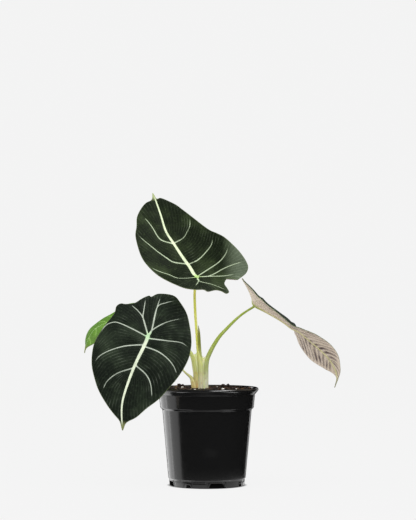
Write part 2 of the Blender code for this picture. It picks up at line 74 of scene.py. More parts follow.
def smooth_curve(points, count, closed=False):
    """A Catmull-Rom curve through the points, read at count places evenly along its length.

    Between points b and c, with a before and d after, a place t of the way along is
    half of 2b + (c - a) t + (2a - 5b + 4c - d) t^2 + (3b - a - 3c + d) t^3.
    """
    points = np.asarray(points, float)
    if closed:
        before, after = points[[-1]], points[[0, 1]]
    else:
        before = 2 * points[[0]] - points[[1]]
        after = 2 * points[[-1]] - points[[-2]]
    chain = np.vstack([before, points, after])
    t = np.linspace(0, 1, PLACES_BETWEEN, endpoint=False)[None, :, None]
    a, b, c, d = (chain[i : len(chain) - 3 + i, None, :] for i in range(4))
    runs = 0.5 * (
        2 * b + (c - a) * t + (2 * a - 5 * b + 4 * c - d) * t**2 + (3 * b - a - 3 * c + d) * t**3
    )
    fine = runs.reshape(-1, points.shape[1])
    fine = np.vstack([fine, points[0] if closed else points[-1]])
    steps = np.linalg.norm(np.diff(fine[:, :3], axis=0), axis=1)
    along = np.concatenate([[0], np.cumsum(steps)])
    places = np.linspace(0, along[-1], count, endpoint=not closed)
    return np.column_stack([np.interp(places, along, column) for column in fine.T])


def blend_in(low, high, value):
    """A smooth step: 0 below low, 1 above high, and 3t^2 - 2t^3 between them."""
    t = np.clip((value - low) / (high - low), 0, 1)
    return t * t * (3 - 2 * t)


def sighted(across, depth, up):
    """Points of a front drawing, pushed to a depth along their own lines of sight.

    A point at depth d behind the drawing is scaled away from the eye by 1 + d / distance.
    """
    scale = 1 + depth / -EYE[1]
    x = EYE[0] + (across - EYE[0]) * scale
    z = EYE[2] + (up - EYE[2]) * scale
    return np.stack([x, depth + 0 * x, z], axis=-1)


print("a smooth step at the middle gives", blend_in(0, 1, 0.5))

# %% [markdown]
# A shape is an array of points laid out in rows and columns, and its faces are worked out from
# their numbers. Two kinds of closed shape come back again and again: rings with a pole at
# either end, and a thin sheet with two skins. Each has one function.

# %% Meshes from arrays


def grid_faces(rows, columns, wrap=False):
    """The four-sided faces between neighbouring rows and columns of a grid of points."""
    row = np.arange(rows - 1)[:, None] * columns
    column = np.arange(columns if wrap else columns - 1)[None, :]
    beside = (column + 1) % columns
    corners = [row + column, row + columns + column, row + columns + beside, row + beside]
    return np.stack(corners, axis=-1).reshape(-1, 4)


def closed_rings(rings, first_pole, last_pole):
    """Points and faces of a closed shape: rows of ring points, with a pole past either end.

    Seen from the last pole each ring runs anticlockwise, so the faces look outwards.
    """
    rows, columns = rings.shape[:2]
    count = rows * columns
    i = np.arange(columns)
    j = (i + 1) % columns
    last = count - columns
    faces = [
        grid_faces(rows, columns, wrap=True)[:, ::-1],
        np.stack([j, i, np.full(columns, count)], axis=-1),
        np.stack([last + i, last + j, np.full(columns, count + 1)], axis=-1),
    ]
    return np.vstack([rings.reshape(-1, 3), [first_pole, last_pole]]), faces


def two_skins(sheet, normal, upper, lower):
    """Points and faces of a closed sheet, and which of its grid points aren't on the border.

    Its skins lie at + upper and - lower along the normal, and they share the border's points.
    """
    rows, columns = sheet.shape[:2]
    inside = np.zeros((rows, columns), bool)
    inside[1:-1, 1:-1] = True
    twin = np.arange(rows * columns).reshape(rows, columns)
    twin[inside] = rows * columns + np.arange(inside.sum())
    top = np.where(inside[..., None], sheet + normal * upper[..., None], sheet)
    under = (sheet - normal * lower[..., None])[inside]
    points = np.vstack([top.reshape(-1, 3), under])
    faces = grid_faces(rows, columns)
    a, b, _, c = points[faces[len(faces) // 2]]
    if np.cross(b - a, c - a) @ normal[rows // 2, columns // 2] < 0:
        faces = faces[:, ::-1]
    return points, [faces, twin.ravel()[faces][:, ::-1]], inside.ravel()


def in_scene(name, data):
    """A new object in the scene, which shows this mesh, lamp or camera."""
    made = bpy.data.objects.new(name, data)
    bpy.context.scene.collection.objects.link(made)
    return made


def make_piece(name, points, faces, finishes, replaces=(), fields=None, which=None):
    """A mesh object from arrays: points in millimetres, faces as a list of index arrays.

    fields are numbers kept on each point for the finish to read, and which picks a finish for
    each face. The piece rides on the frame and stands for the nodes that it replaces.
    """
    mesh = bpy.data.meshes.new(name)
    points = np.asarray(points, np.float64).reshape(-1, 3) * MM
    mesh.vertices.add(len(points))
    mesh.vertices.foreach_set("co", points.astype(np.float32).ravel())
    corners = np.concatenate([part.ravel() for part in faces])
    sizes = np.concatenate([np.full(len(part), part.shape[1]) for part in faces])
    mesh.loops.add(len(corners))
    mesh.loops.foreach_set("vertex_index", corners.astype(np.int32))
    mesh.polygons.add(len(sizes))
    starts = np.concatenate([[0], np.cumsum(sizes)[:-1]])
    mesh.polygons.foreach_set("loop_start", starts.astype(np.int32))
    for look in finishes:
        mesh.materials.append(look)
    if which is not None:
        mesh.polygons.foreach_set("material_index", which.astype(np.int32))
    for key, values in (fields or {}).items():
        layer = mesh.attributes.new(key, "FLOAT", "POINT")
        layer.data.foreach_set("value", np.asarray(values, np.float32).ravel())
    mesh.update(calc_edges=True)
    mesh.validate()
    mesh.shade_smooth()
    piece = in_scene(name, mesh)
    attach(piece, "root")
    if replaces:
        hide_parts(*replaces)
    print(name, "triangles:", sum(len(face.vertices) - 2 for face in mesh.polygons))
    return piece


drum_faces = closed_rings(np.zeros((3, 8, 3)), (0, 0, 0), (0, 0, 1))[1]
print("a closed shape of 3 rings of 8 points has faces:", sum(len(part) for part in drum_faces))

# %% [markdown]
# ## Writing shaders as sums
# A finish is a small program: how far from a vein is this point, how dark is it here, how
# rough. Wiring each step by hand hides the thought, so one small class wraps a socket. An
# expression such as 1 - mask * 0.5 then adds the Math nodes it needs.

# %% A socket with arithmetic


class Wire:
    """One socket of a material's node tree, with the arithmetic that the finishes use."""

    def __init__(self, tree, socket=None):
        self.tree = tree
        self.socket = socket

    def node(self, kind, settings=None, inputs=None, output=0):
        """Adds a node of this type: first its settings, then the values or links of its inputs."""
        made = self.tree.nodes.new(kind)
        for key, value in (settings or {}).items():
            if key == "stops":
                ramp = made.color_ramp
                while len(ramp.elements) < len(value):
                    ramp.elements.new(1.0)
                for element, (place, colour) in zip(ramp.elements, value):
                    element.position = place
                    element.color = (*colour, 1.0)
            else:
                setattr(made, key, value)
        for key, value in (inputs or {}).items():
            if isinstance(value, Wire):
                self.tree.links.new(value.socket, made.inputs[key])
            elif value is not None:
                made.inputs[key].default_value = value
        return Wire(self.tree, made.outputs[output])

    def maths(self, operation, first, second=None):
        return self.node("ShaderNodeMath", {"operation": operation}, {0: first, 1: second})

    def __add__(self, other):
        return self.maths("ADD", self, other)

    __radd__ = __add__

    def __sub__(self, other):
        return self.maths("SUBTRACT", self, other)

    def __rsub__(self, other):
        return self.maths("SUBTRACT", other, self)

    def __mul__(self, other):
        return self.maths("MULTIPLY", self, other)

    __rmul__ = __mul__

    def __truediv__(self, other):
        return self.maths("DIVIDE", self, other)

    def between(self, low, high):
        """A smooth step of this value: 0 at low and 1 at high, either way round."""
        settings = {"interpolation_type": "SMOOTHSTEP"}
        inputs = {"Value": self, "From Min": min(low, high), "From Max": max(low, high)}
        rising = self.node("ShaderNodeMapRange", settings, inputs)
        return rising if low < high else 1 - rising

    def from_line(self):
        """How far this value is from the nearest whole number, from 0 to a half."""
        shifted = self.maths("FRACT", self + 0.5)
        return self.maths("ABSOLUTE", shifted - 0.5)

    def mix(self, start, end):
        """The colour start where this value is 0 and the colour end where it is 1."""
        pair = [(*c, 1.0) if isinstance(c, tuple) else c for c in (start, end)]
        inputs = {0: self, 6: pair[0], 7: pair[1]}
        return self.node("ShaderNodeMix", {"data_type": "RGBA"}, inputs, output=2)

    def field(self, name):
        """The number of this name that is kept on each point of the mesh."""
        return self.node("ShaderNodeAttribute", {"attribute_name": name}, output="Fac")

    def place(self):
        """Object coordinates, in metres."""
        return self.node("ShaderNodeTexCoord", output="Object")

    def coordinate(self, axis):
        """The X, Y or Z of the place, in metres."""
        return self.node("ShaderNodeSeparateXYZ", inputs={0: self.place()}, output=axis)

    def noise(self, per_metre, detail=3.0, roughness=0.5, stretch=(1, 1, 1)):
        """Cloudy noise on Object coordinates, with features of about 1 / per_metre metres."""
        scaled = self.node("ShaderNodeMapping", inputs={"Vector": self.place(), "Scale": stretch})
        inputs = {"Vector": scaled, "Scale": per_metre, "Detail": detail, "Roughness": roughness}
        return self.node("ShaderNodeTexNoise", inputs=inputs)


def shade(level):
    """A display level from 0 to 255 as a linear value: c / 12.92, or ((c + 0.055) / 1.055)^2.4."""
    c = level / 255
    return c / 12.92 if c <= 0.04045 else ((c + 0.055) / 1.055) ** 2.4


def tint(red, green, blue):
    """A colour from three display levels."""
    return (shade(red), shade(green), shade(blue))


def finish(name, recipe, **constants):
    """A material whose recipe returns what varies over the surface. The rest is constant."""
    made = bpy.data.materials.new(name)
    made.use_nodes = True
    tree = made.node_tree
    tree.nodes.clear()
    start = Wire(tree)
    varying = recipe(start)
    if "Height" in varying:
        height, depth = varying.pop("Height"), varying.pop("Depth")
        bump = {"Height": height, "Strength": 1.0, "Distance": depth * MM}
        varying["Normal"] = start.node("ShaderNodeBump", inputs=bump)
    surface = start.node("ShaderNodeBsdfPrincipled", inputs={**constants, **varying})
    output = tree.nodes.new("ShaderNodeOutputMaterial")
    tree.links.new(surface.socket, output.inputs["Surface"])
    print("finish", name, "nodes:", len(tree.nodes))
    return made


print("the display level 128 is linear", round(shade(128), 3))

# %% [markdown]
# ## The nursery pot
# The real pot is blown or moulded from thin black plastic. Its wall turns round one axis, so
# one outline swept round gives all of it: the rolled lip, the collar that the next pot stacks
# into, the tapering body, the ledge and the foot. Corners on moulded plastic are never sharp,
# and it is their small arcs that catch the light as thin bright lines.

# %% The pot's outline
pot_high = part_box("nursery_pot")[1]
LIP_RADIUS = pot_high.x / MM
POT_HEIGHT = pot_high.z / MM
COLLAR_TOP = (48.9, 91.7)
COLLAR_FOOT = (47.6, 78.9)
BODY_TOP_RADIUS = 45.5
LEDGE = (39.3, 7.6)
FOOT_RADIUS = 37.7
WALL = 1.4
FLOOR_UNDERSIDE = 3.0
FLOOR_TOP = 4.5
PAD_RADIUS = 9.0
FOOT_RING_WIDTH = 4.2
POT_SEGMENTS = 384
SHARP_ANGLE = 38


def rounded(outline, radius, steps=6):
    """The outline with each corner c between points a and b replaced by a small arc.

    The arc is (1 - t)^2 p + 2 t (1 - t) c + t^2 q, where p and q lie on the two sides at the
    radius from the corner, or at 0.45 of a shorter side.
    """
    a, c, b = outline[:-2], outline[1:-1], outline[2:]
    back, on = a - c, b - c
    back_length = np.linalg.norm(back, axis=1, keepdims=True)
    on_length = np.linalg.norm(on, axis=1, keepdims=True)
    p = c + back * np.minimum(radius / back_length, 0.45)
    q = c + on * np.minimum(radius / on_length, 0.45)
    t = np.linspace(0, 1, steps)[None, :, None]
    arcs = (1 - t) ** 2 * p[:, None] + 2 * t * (1 - t) * c[:, None] + t**2 * q[:, None]
    return np.vstack([outline[:1], arcs.reshape(-1, 2), outline[-1:]])


def pot_outline():
    """The outline of (radius, height), from under the pot up the outside and down inside."""
    ring_inside = FOOT_RADIUS - FOOT_RING_WIDTH
    under = [
        (0.0, 0.0),
        (PAD_RADIUS, 0.0),
        (PAD_RADIUS + 1.5, FLOOR_UNDERSIDE),
        (ring_inside - 1.0, FLOOR_UNDERSIDE),
        (ring_inside, 0.0),
        (FOOT_RADIUS, 0.0),
    ]
    foot_rings = 15
    share = np.linspace(0, 1, foot_rings)[1:-1, None]
    start, end = np.array([FOOT_RADIUS, 0.0]), np.array([LEDGE[0] - 1.0, LEDGE[1] - 1.0])
    foot = start + (end - start) * share
    outside = [
        tuple(end),
        LEDGE,
        (BODY_TOP_RADIUS, COLLAR_FOOT[1] - 1.9),
        (COLLAR_FOOT[0] - 0.7, COLLAR_FOOT[1] - 0.9),
        COLLAR_FOOT,
        COLLAR_TOP,
        (COLLAR_TOP[0] - 0.2, COLLAR_TOP[1] + 0.7),
        (COLLAR_TOP[0] + 0.5, COLLAR_TOP[1] + 1.1),
        (LIP_RADIUS - 0.6, POT_HEIGHT - 3.4),
        (LIP_RADIUS, POT_HEIGHT - 2.3),
        (LIP_RADIUS - 0.35, POT_HEIGHT - 1.3),
        (LIP_RADIUS - 1.2, POT_HEIGHT - 0.4),
        (LIP_RADIUS - 2.3, POT_HEIGHT),
    ]
    inside = [
        (LIP_RADIUS - 3.6, POT_HEIGHT - 0.3),
        (COLLAR_TOP[0] - WALL + 0.3, POT_HEIGHT - 2.6),
        (COLLAR_FOOT[0] - WALL, COLLAR_FOOT[1] + 1.0),
        (BODY_TOP_RADIUS - WALL, COLLAR_FOOT[1] - 2.0),
        (LEDGE[0] - WALL, LEDGE[1] + 1.0),
        (LEDGE[0] - WALL - 2.0, FLOOR_TOP),
        (0.0, FLOOR_TOP),
    ]
    return rounded(np.vstack([under, foot, outside, inside]), radius=0.7)


POT_OUTLINE = pot_outline()
print("pot outline points:", len(POT_OUTLINE), "lip radius:", round(LIP_RADIUS, 1))

# %% [markdown]
# Water leaves through notches in the foot. Each is edged by a small bead, and between them
# the foot is pressed in, which shows as a darker panel at the front. The bead and the panel
# are a push along the radius, worked out from how far a point is from a notch's edge.

# %% The foot's relief and the notches
NOTCH_COUNT = 4
WIDE_NOTCH = {"angle": 16.0, "foot_width": 19.0, "top_width": 14.0, "height": 5.4}
SMALL_NOTCH = {"angle": -29.0, "foot_width": 6.5, "top_width": 3.5, "height": 3.4}
BEAD_HEIGHT = 0.4
BEAD_WIDTH = 0.75
PANEL = {"angle": -12.5, "half_angle": 11.0, "low": 3.9, "high": 6.9, "depth": 0.8}


def quarter_turn(angle, centre):
    """The angle from the centre of the nearest of the four copies, in degrees."""
    return (angle - centre + 45.0) % 90.0 - 45.0


def foot_relief(angle, height):
    """How far the foot stands out or in, from beads round the notches and pressed-in panels.

    A bead stands h exp(-((d - 0.6 w) / w)^2) high at the distance d from the edge of a notch.
    """
    push = 0 * angle
    for notch in (WIDE_NOTCH, SMALL_NOTCH):
        arc = np.abs(np.radians(quarter_turn(angle, notch["angle"]))) * FOOT_RADIUS
        narrowing = (notch["foot_width"] - notch["top_width"]) / 2 / notch["height"]
        half_width = notch["foot_width"] / 2 - narrowing * height
        edge = np.maximum(arc - half_width, height - notch["height"])
        push = push + BEAD_HEIGHT * np.exp(-(((edge - BEAD_WIDTH * 0.6) / BEAD_WIDTH) ** 2))
    inside = PANEL["half_angle"] - np.abs(quarter_turn(angle, PANEL["angle"]))
    sides = blend_in(0, 1.2, inside)
    ends = blend_in(0, 0.8, height - PANEL["low"]) * blend_in(0, 0.8, PANEL["high"] - height)
    on_wall = blend_in(0.0, 0.8, height) * blend_in(LEDGE[1] + 0.2, LEDGE[1] - 0.8, height)
    return (push - PANEL["depth"] * sides * ends) * on_wall


def notch_wedges(look):
    """Eight wedges that run out along a radius, each a trapezium wider at the ground."""
    points, faces = [], []
    inner, outer, below = 28.0, FOOT_RADIUS + 6.0, -1.0
    for step in range(NOTCH_COUNT):
        for notch in (WIDE_NOTCH, SMALL_NOTCH):
            angle = math.radians(notch["angle"] + step * 360 / NOTCH_COUNT)
            outward = np.array([math.sin(angle), -math.cos(angle), 0.0])
            sideways = np.array([math.cos(angle), math.sin(angle), 0.0])
            half_foot, half_top = notch["foot_width"] / 2, notch["top_width"] / 2
            halves = [(-half_foot, below), (half_foot, below)]
            halves += [(half_top, notch["height"]), (-half_top, notch["height"])]
            start = len(points)
            for radius in (inner, outer):
                for half, height in halves:
                    points.append(outward * radius + sideways * half + [0, 0, height])
            box = [(3, 2, 1, 0), (4, 5, 6, 7)]
            box += [(i, (i + 1) % 4, 4 + (i + 1) % 4, 4 + i) for i in range(4)]
            faces += [[start + corner for corner in face] for face in box]
    mesh = bpy.data.meshes.new("notch_wedges")
    mesh.from_pydata((np.array(points) * MM).tolist(), [], faces)
    mesh.materials.append(look)
    return in_scene("notch_wedges", mesh)


print("bead beside a wide notch:", np.round(foot_relief(np.array([29.5]), np.array([2.0])), 2))

# %% [markdown]
# The plastic is nearly black. It isn't mirror-smooth: a fine grain from the mould spreads the
# highlight, dust dulls it near the foot, and handling leaves the odd paler scuff. The notches'
# cut faces and the hollow under the floor get a second, near-black dull finish: painted shade.

# %% The pot's finish and mesh


def black_plastic(start):
    grain = start.noise(2600, detail=2)
    cloud = start.noise(45, detail=4)
    flow = start.noise(70, detail=3, stretch=(1, 1, 0.06))
    height = start.coordinate("Z")
    dusty = height.between(0.022, 0.0) * 0.5 + cloud.between(0.55, 0.75) * 0.25
    colour = dusty.mix(tint(21, 21, 21), tint(42, 42, 41))
    rough = 0.11 + cloud * 0.06 + flow * 0.05 + dusty * 0.12
    return {"Base Color": colour, "Roughness": rough, "Height": grain + flow * 1.5, "Depth": 0.012}


# Painted shade: a near-black, dull plastic for the notches' cut faces and the underside seen
# through them, where the pot's own shadow falls.
def notch_painted_shade(start):
    cloud = start.noise(300, detail=3)
    colour = cloud.mix(tint(3, 3, 3), tint(12, 11, 10))
    return {"Base Color": colour, "Roughness": 0.7 + cloud * 0.2}


POT_FINISH = finish("black_pot_plastic", black_plastic, **{"Specular IOR Level": 0.5})
PAINTED_SHADE_FINISH = finish("pot_plastic_painted_shade", notch_painted_shade, **{"Specular IOR Level": 0.05})


def turned_points(profile, segments):
    """Each outline point (r, z) carried round the axis: (r cos a, r sin a, z)."""
    turn = np.linspace(0, 2 * np.pi, segments, endpoint=False)
    radii, heights = profile[:, :1], profile[:, 1:]
    return np.stack([radii * np.cos(turn), radii * np.sin(turn), heights + 0 * turn], axis=-1)


def nursery_pot():
    """The outline turned round the axis, with the foot pushed in and out and the notches cut."""
    body = POT_OUTLINE[1:-1]
    points = turned_points(body, POT_SEGMENTS)
    radius = np.hypot(points[..., 0], points[..., 1])
    angle = np.degrees(np.arctan2(points[..., 0], -points[..., 1]))
    push = np.where(radius > FOOT_RADIUS - 0.9, foot_relief(angle, points[..., 2]), 0)
    points[..., :2] *= (1 + push / radius)[..., None]
    poles = [(0, 0, POT_OUTLINE[end, 1]) for end in (0, -1)]
    shell, faces = closed_rings(points, *poles)
    # Faces of the underside inside the foot ring take the painted-shade finish.
    first_half = np.arange(len(body) - 1) < len(body) // 2
    within_ring = body[:-1, 0] < FOOT_RADIUS - FOOT_RING_WIDTH + 0.5
    which = np.repeat([*(first_half & within_ring), 1, 0], POT_SEGMENTS)
    looks = [POT_FINISH, PAINTED_SHADE_FINISH]
    solid = make_piece(
        "pot_shell", shell, faces, looks, ["nursery_pot"], which=which
    )
    # The wedges carry the painted-shade finish onto the notches' cut faces.
    wedges = notch_wedges(PAINTED_SHADE_FINISH)
    cut = solid.modifiers.new("drain notches", "BOOLEAN")
    cut.operation = "DIFFERENCE"
    cut.object = wedges
    cut.material_mode = "TRANSFER"
    graph = bpy.context.evaluated_depsgraph_get()
    drilled = bpy.data.meshes.new_from_object(solid.evaluated_get(graph))
    solid.modifiers.remove(cut)
    solid.data = drilled
    bpy.data.objects.remove(wedges)
    drilled.set_sharp_from_angle(angle=math.radians(SHARP_ANGLE))
    print("pot faces after the notches:", len(drilled.polygons))


nursery_pot()

# %% [markdown]
# ## The leaf blades
# A blade is one thin sheet. Seen from the front it is an outline, drawn round the point where
# the stalk joins it, and a pose then puts each drawn point into space: how far it hangs back,
# sweeps forward or curls. Drawing and pose are kept apart, so the outline stays true from the
# front while the pose gives the sides their depth.

# %% Outlines and poses of the two leaves that face the front
FRONT_JOINT = (-60.0, 151.5)
FRONT_OUTLINE = [
    (-26, -96.5), (-29, -87), (-35.5, -79), (-42.5, -69.5), (-50.5, -55.5), (-55, -42),
    (-57.5, -29.5), (-57, -16.5), (-54, -5), (-45.5, 9), (-35, 22.5), (-32.5, 30), (-28, 33),
    (-23, 32.5), (-14, 33.5), (-6.5, 38), (0.5, 41), (3.5, 40), (11, 43), (26, 41), (33.5, 33),
    (39.5, 22.5), (42.5, 10), (44, -1), (44, -10.5), (41.5, -22.5), (36.5, -33), (29.5, -43.5),
    (21, -53.5), (11, -64.5), (-1.5, -74), (-12, -83), (-22, -88.5),
]
TOP_JOINT = (-10.5, 211.5)
TOP_OUTLINE = [
    (-45, 86), (-46, 79), (-52, 75.5), (-57, 69.5), (-61, 61), (-61.5, 51.5), (-62.5, 41.5),
    (-59, 27), (-54.5, 17), (-47.5, 8.5), (-39.5, 1.5), (-31, -3.5), (-22.5, -7.5),
    (-12, -11.5), (-1, -13), (7, -13), (11.5, -15), (19, -13.5), (25, -14.5), (30, -17),
    (33, -15.5), (31.5, -12), (28.5, -7.5), (29, -4.5), (31.5, -1.5), (37.5, -1.5), (41, -3),
    (44.5, -1), (50.5, 4), (52.5, 10), (50.5, 16), (46, 23), (39.5, 30.5), (28.5, 40.5),
    (20, 45), (11.5, 49), (-5.5, 62), (-14, 68.5), (-22.5, 74.5), (-36, 80.5), (-41, 80),
]


def joint_of(pose):
    """Where the stalk joins the posed blade: the place of the drawing's origin, as one row."""
    return pose(np.zeros(1), np.zeros(1))


def across_midrib(across, up, tip):
    """Signed distance of a drawn point from the straight line through the joint and the tip."""
    return (across * tip[1] - up * tip[0]) / math.hypot(*tip)


def front_pose(across, up):
    """The leaf hangs over the rim: its lobes lean back, and its tip and margins curl back.

    depth = -30 + 0.36 up + 0.0015 up^2 below the joint, or 0.004 up^2 above it, then a channel
    of -0.12 sqrt(off^2 + 16) and a roll of 0.0026 off^2 at the distance off from the midrib.
    """
    off = across_midrib(across, up, FRONT_OUTLINE[0])
    lean = -30 + 0.36 * up + 0.0015 * np.minimum(up, 0) ** 2 + 0.004 * np.maximum(up, 0) ** 2
    bend = 0.0026 * off**2 - 0.12 * np.sqrt(off**2 + 16)
    return sighted(FRONT_JOINT[0] + across, lean + bend, FRONT_JOINT[1] + up)


def top_pose(across, up):
    """The leaf rises behind its joint and sweeps forward below it, like a ramp with a dished foot.

    depth = 16 + 0.5 up - slope * below, with below = 3 log(1 + exp((2 - up) / 3)), the slope
    0.9 + 2.2 exp(-((across + 8) / 22)^2), and a dish of -0.0045 off^2 - 0.06 sqrt(off^2 + 16).
    """
    off = across_midrib(across, up, TOP_OUTLINE[0])
    slope = 0.9 + 2.2 * np.exp(-(((across + 8) / 22) ** 2))
    below = 3.0 * np.log1p(np.exp((2.0 - up) / 3.0))
    dish = -0.0045 * off**2 - 0.06 * np.sqrt(off**2 + 16)
    return sighted(TOP_JOINT[0] + across, 16 + 0.5 * up - slope * below + dish, TOP_JOINT[1] + up)


print("front joint stands at", np.round(joint_of(front_pose), 1))

# %% [markdown]
# The two leaves seen on edge are laid out differently: along a bent midrib, with each half
# rising from it at its own angle.

# %% Outlines and poses of the two leaves seen on edge
RIGHT_MIDRIB = [
    (34.8, 211.0), (41.5, 199.5), (45.5, 190.5), (49, 183), (58, 178), (69.5, 171.5), (79.5, 165),
    (86.5, 159.5), (94, 156), (100, 151), (106, 146), (113, 140), (120.5, 133), (126.5, 126),
    (130.5, 118.5), (132.5, 112.5), (132.5, 107), (129.5, 97.5),
]
RIGHT_OUTLINE = [
    (0, 126), (4, 116), (11, 108), (21, 99), (31, 88), (39, 76), (46, 60), (50, 40), (51, 20),
    (48, 2), (42, -14), (30, -27), (16, -30.5), (4, -23), (-5, -24), (-17, -30.5), (-31, -27),
    (-43, -14), (-49, 3), (-52, 21), (-51, 41), (-46, 61), (-38, 77), (-30, 89), (-20, 100),
    (-10, 109), (-3.5, 116),
]
LEFT_MIDRIB = [
    (-55, 176), (-68, 173.5), (-80.5, 169.5), (-93, 166.5), (-103.5, 164), (-111, 160.5),
    (-117, 155), (-121, 147.5), (-124, 139), (-125, 131.5),
]
LEFT_OUTLINE = [
    (0, 63), (3.5, 56), (10, 50), (17, 40), (23, 27), (27, 10), (26, -6), (19, -18), (9, -23),
    (1, -20), (-8, -23), (-19, -18), (-26, -6), (-27, 10), (-23, 27), (-18, 40), (-12, 50),
    (-4, 57),
]
CURVE_PLACES = 241
SOFTENED_PLACES = 19


def ribbon_pose(midrib, joint_station, depth, near_rise, far_rise, arch=(0.0, 0.0, 1.0)):
    """A pose for a leaf seen on edge, from its midrib as drawn and the rise of its halves.

    At the distance a across the midrib and s towards the tip, the point is the midrib's point
    at s, pushed back by a cos(rise) and lifted by (sqrt(a^2 + 4) - 2) sin(rise). The rises
    are in degrees, by s, and near and far meet softly at the midrib. The way up is square to
    the midrib, averaged over a few places so that a bend doesn't fold the halves. The far half
    also arches by h exp(-((s - c) / w)^2) sin^2(pi a / 40), with the arch's numbers h, c and w.
    """
    line = smooth_curve(midrib, CURVE_PLACES)
    near_curve = smooth_curve(near_rise, CURVE_PLACES)
    far_curve = smooth_curve(far_rise, CURVE_PLACES)
    along = np.concatenate([[0], np.cumsum(np.linalg.norm(np.diff(line, axis=0), axis=1))])
    joint = np.asarray(midrib[joint_station], float)
    along -= along[np.argmin(np.linalg.norm(line - joint, axis=1))]
    slope = np.gradient(line, axis=0)
    turn = np.unwrap(np.arctan2(slope[:, 1], slope[:, 0]))
    padded = np.pad(turn, SOFTENED_PLACES // 2, "edge")
    turn = np.convolve(padded, np.ones(SOFTENED_PLACES), "valid") / SOFTENED_PLACES
    upward = np.column_stack([-np.sin(turn), np.cos(turn)])
    upward *= np.sign(upward[:, 1].sum())

    def pose(across, towards_tip):
        far_share = 0.5 + 0.5 * np.tanh(across / 3.0)
        near = np.interp(towards_tip, *near_curve.T)
        far = np.interp(towards_tip, *far_curve.T)
        rise = np.radians(near + (far - near) * far_share)
        lift = (np.sqrt(across**2 + 4) - 2) * np.sin(rise)
        height, centre, width = arch
        swelling = np.sin(np.pi * np.clip(across / 40, 0, 1)) ** 2
        lift = lift + height * np.exp(-(((towards_tip - centre) / width) ** 2)) * swelling
        x, z, x_up, z_up = (
            np.interp(towards_tip, along, values) for values in (*line.T, *upward.T)
        )
        return sighted(x + lift * x_up, depth + across * np.cos(rise), z + lift * z_up)

    return pose


right_pose = ribbon_pose(
    RIGHT_MIDRIB,
    joint_station=3,
    depth=0.0,
    near_rise=[
        (-27, 0.5), (-17, 4.5), (-8, 7.5), (0, 10.5), (11, 6.8), (23, 4.6), (38, 2.6), (52, 4),
        (60, 8), (68, 12), (73, 14), (81, 18), (90, 22), (96, 24.5), (104, 27), (112, 35),
        (118, 40),
    ],
    far_rise=[
        (-27, 1.5), (-17, 6), (-8, 9.5), (0, 13), (11, 8.8), (23, 6.6), (38, 5.4), (44.5, 3),
        (49.5, -4.5), (54, -8.2), (60, -12.5), (66, -16.4), (73, -20.6), (82, -25.6), (90, -29),
        (98.5, -33.6), (105, -37), (112, -32), (118, -15),
    ],
    arch=(3.4, 44.8, 6.5),
)
left_pose = ribbon_pose(
    LEFT_MIDRIB,
    joint_station=2,
    depth=22.0,
    near_rise=[(-20, -28), (36, -25), (48, -42), (60, -45)],
    far_rise=[(-20, 36), (0, 33), (12, 22), (24, 15), (32, 12), (40, 15), (47, 18), (56, 18)],
)
print("right joint stands at", np.round(joint_of(right_pose), 1))

# %% [markdown]
# The veins are drawn on the same sheet as the outline. A wide pale midrib runs from the joint
# to the tip, and main side veins leave it and bend towards the tip. Each vein is a route
# through a few points. Left and right are those of someone who looks from the joint to the
# tip. On each side the veins are listed in order, from the notch between the lobes round to
# the tip, because the fine veins between two neighbours run in step with both.

# %% Veins
FRONT_VEINS = {
    "midrib": [(0.5, 41), (0, 20), (0, 0), (-14, -31), (-24, -58.5), (-27, -75), (-26, -96.5)],
    "right": [
        [(0, 0), (-5, 17.5), (-4.5, 25.5), (-2.5, 38)],
        [(0, 0), (-5, 17.5), (-10.5, 25.5), (-18, 32)],
        [(-1, -1), (-16, 7), (-31, 13.5), (-38.5, 13), (-44.5, 9), (-49, 2)],
        [(-4, -9), (-24, -10.5), (-40.5, -15.5), (-50.5, -21.5), (-55, -28.5)],
        [(-14.5, -32.5), (-31, -38), (-41.5, -46), (-46.5, -55.5)],
    ],
    "left": [
        [(0, 0), (3.5, 5), (9, 28.5), (13, 40)],
        [(0, 0), (3.5, 5), (9, 28.5), (18, 33.5), (29, 36)],
        [(0, 0), (4.5, 6), (18, 13.5), (35.5, 18)],
        [(-1, -2.5), (19, -5), (33.5, -7), (40.5, -11.5)],
        [(-5, -10.5), (9, -15.5), (19, -22.5), (26, -31), (29.5, -40)],
        [(-13.5, -29.5), (-2.5, -39), (2.5, -49), (4, -63.5)],
    ],
}
TOP_VEINS = {
    "midrib": [
        (29, -4.5), (14, -2), (0, 0), (-7, 10), (-14, 19.5), (-23.5, 34), (-31.5, 46.5),
        (-36.5, 62.5), (-41, 75.5), (-45, 86),
    ],
    "left": [
        [(0, 0), (3, -4.5), (16.5, -8), (30, -13.5)],
        [(0, 0), (2, -4), (-1.5, -9.5)],
        [(0, 0), (-5.5, -1), (-14, -1.5), (-20.5, -1), (-29, 2.5), (-39.5, 6), (-47.5, 10)],
        [(-9, 13), (-23.5, 15), (-31, 19.5), (-39.5, 25.5), (-47.5, 32), (-56, 39), (-60.5, 44)],
        [(-23, 33.5), (-35, 37), (-40, 41.5), (-45, 50), (-49.5, 56), (-54.5, 61.5)],
    ],
    "right": [
        [(0, 0), (11.5, 0.5), (28.5, 1), (39.5, 3)],
        [(0, 0), (13, 1), (27.5, 8.5), (37, 12.5), (48.5, 16)],
        [(0, 0), (11.5, 7.5), (22.5, 15), (29, 22.5), (32.5, 31)],
        [(-9, 12.5), (1.5, 17.5), (10, 26), (15, 33), (16.5, 40)],
        [(-24, 34), (-14, 39.5), (-9.5, 46.5), (-7, 52.5), (-7, 60)],
    ],
}


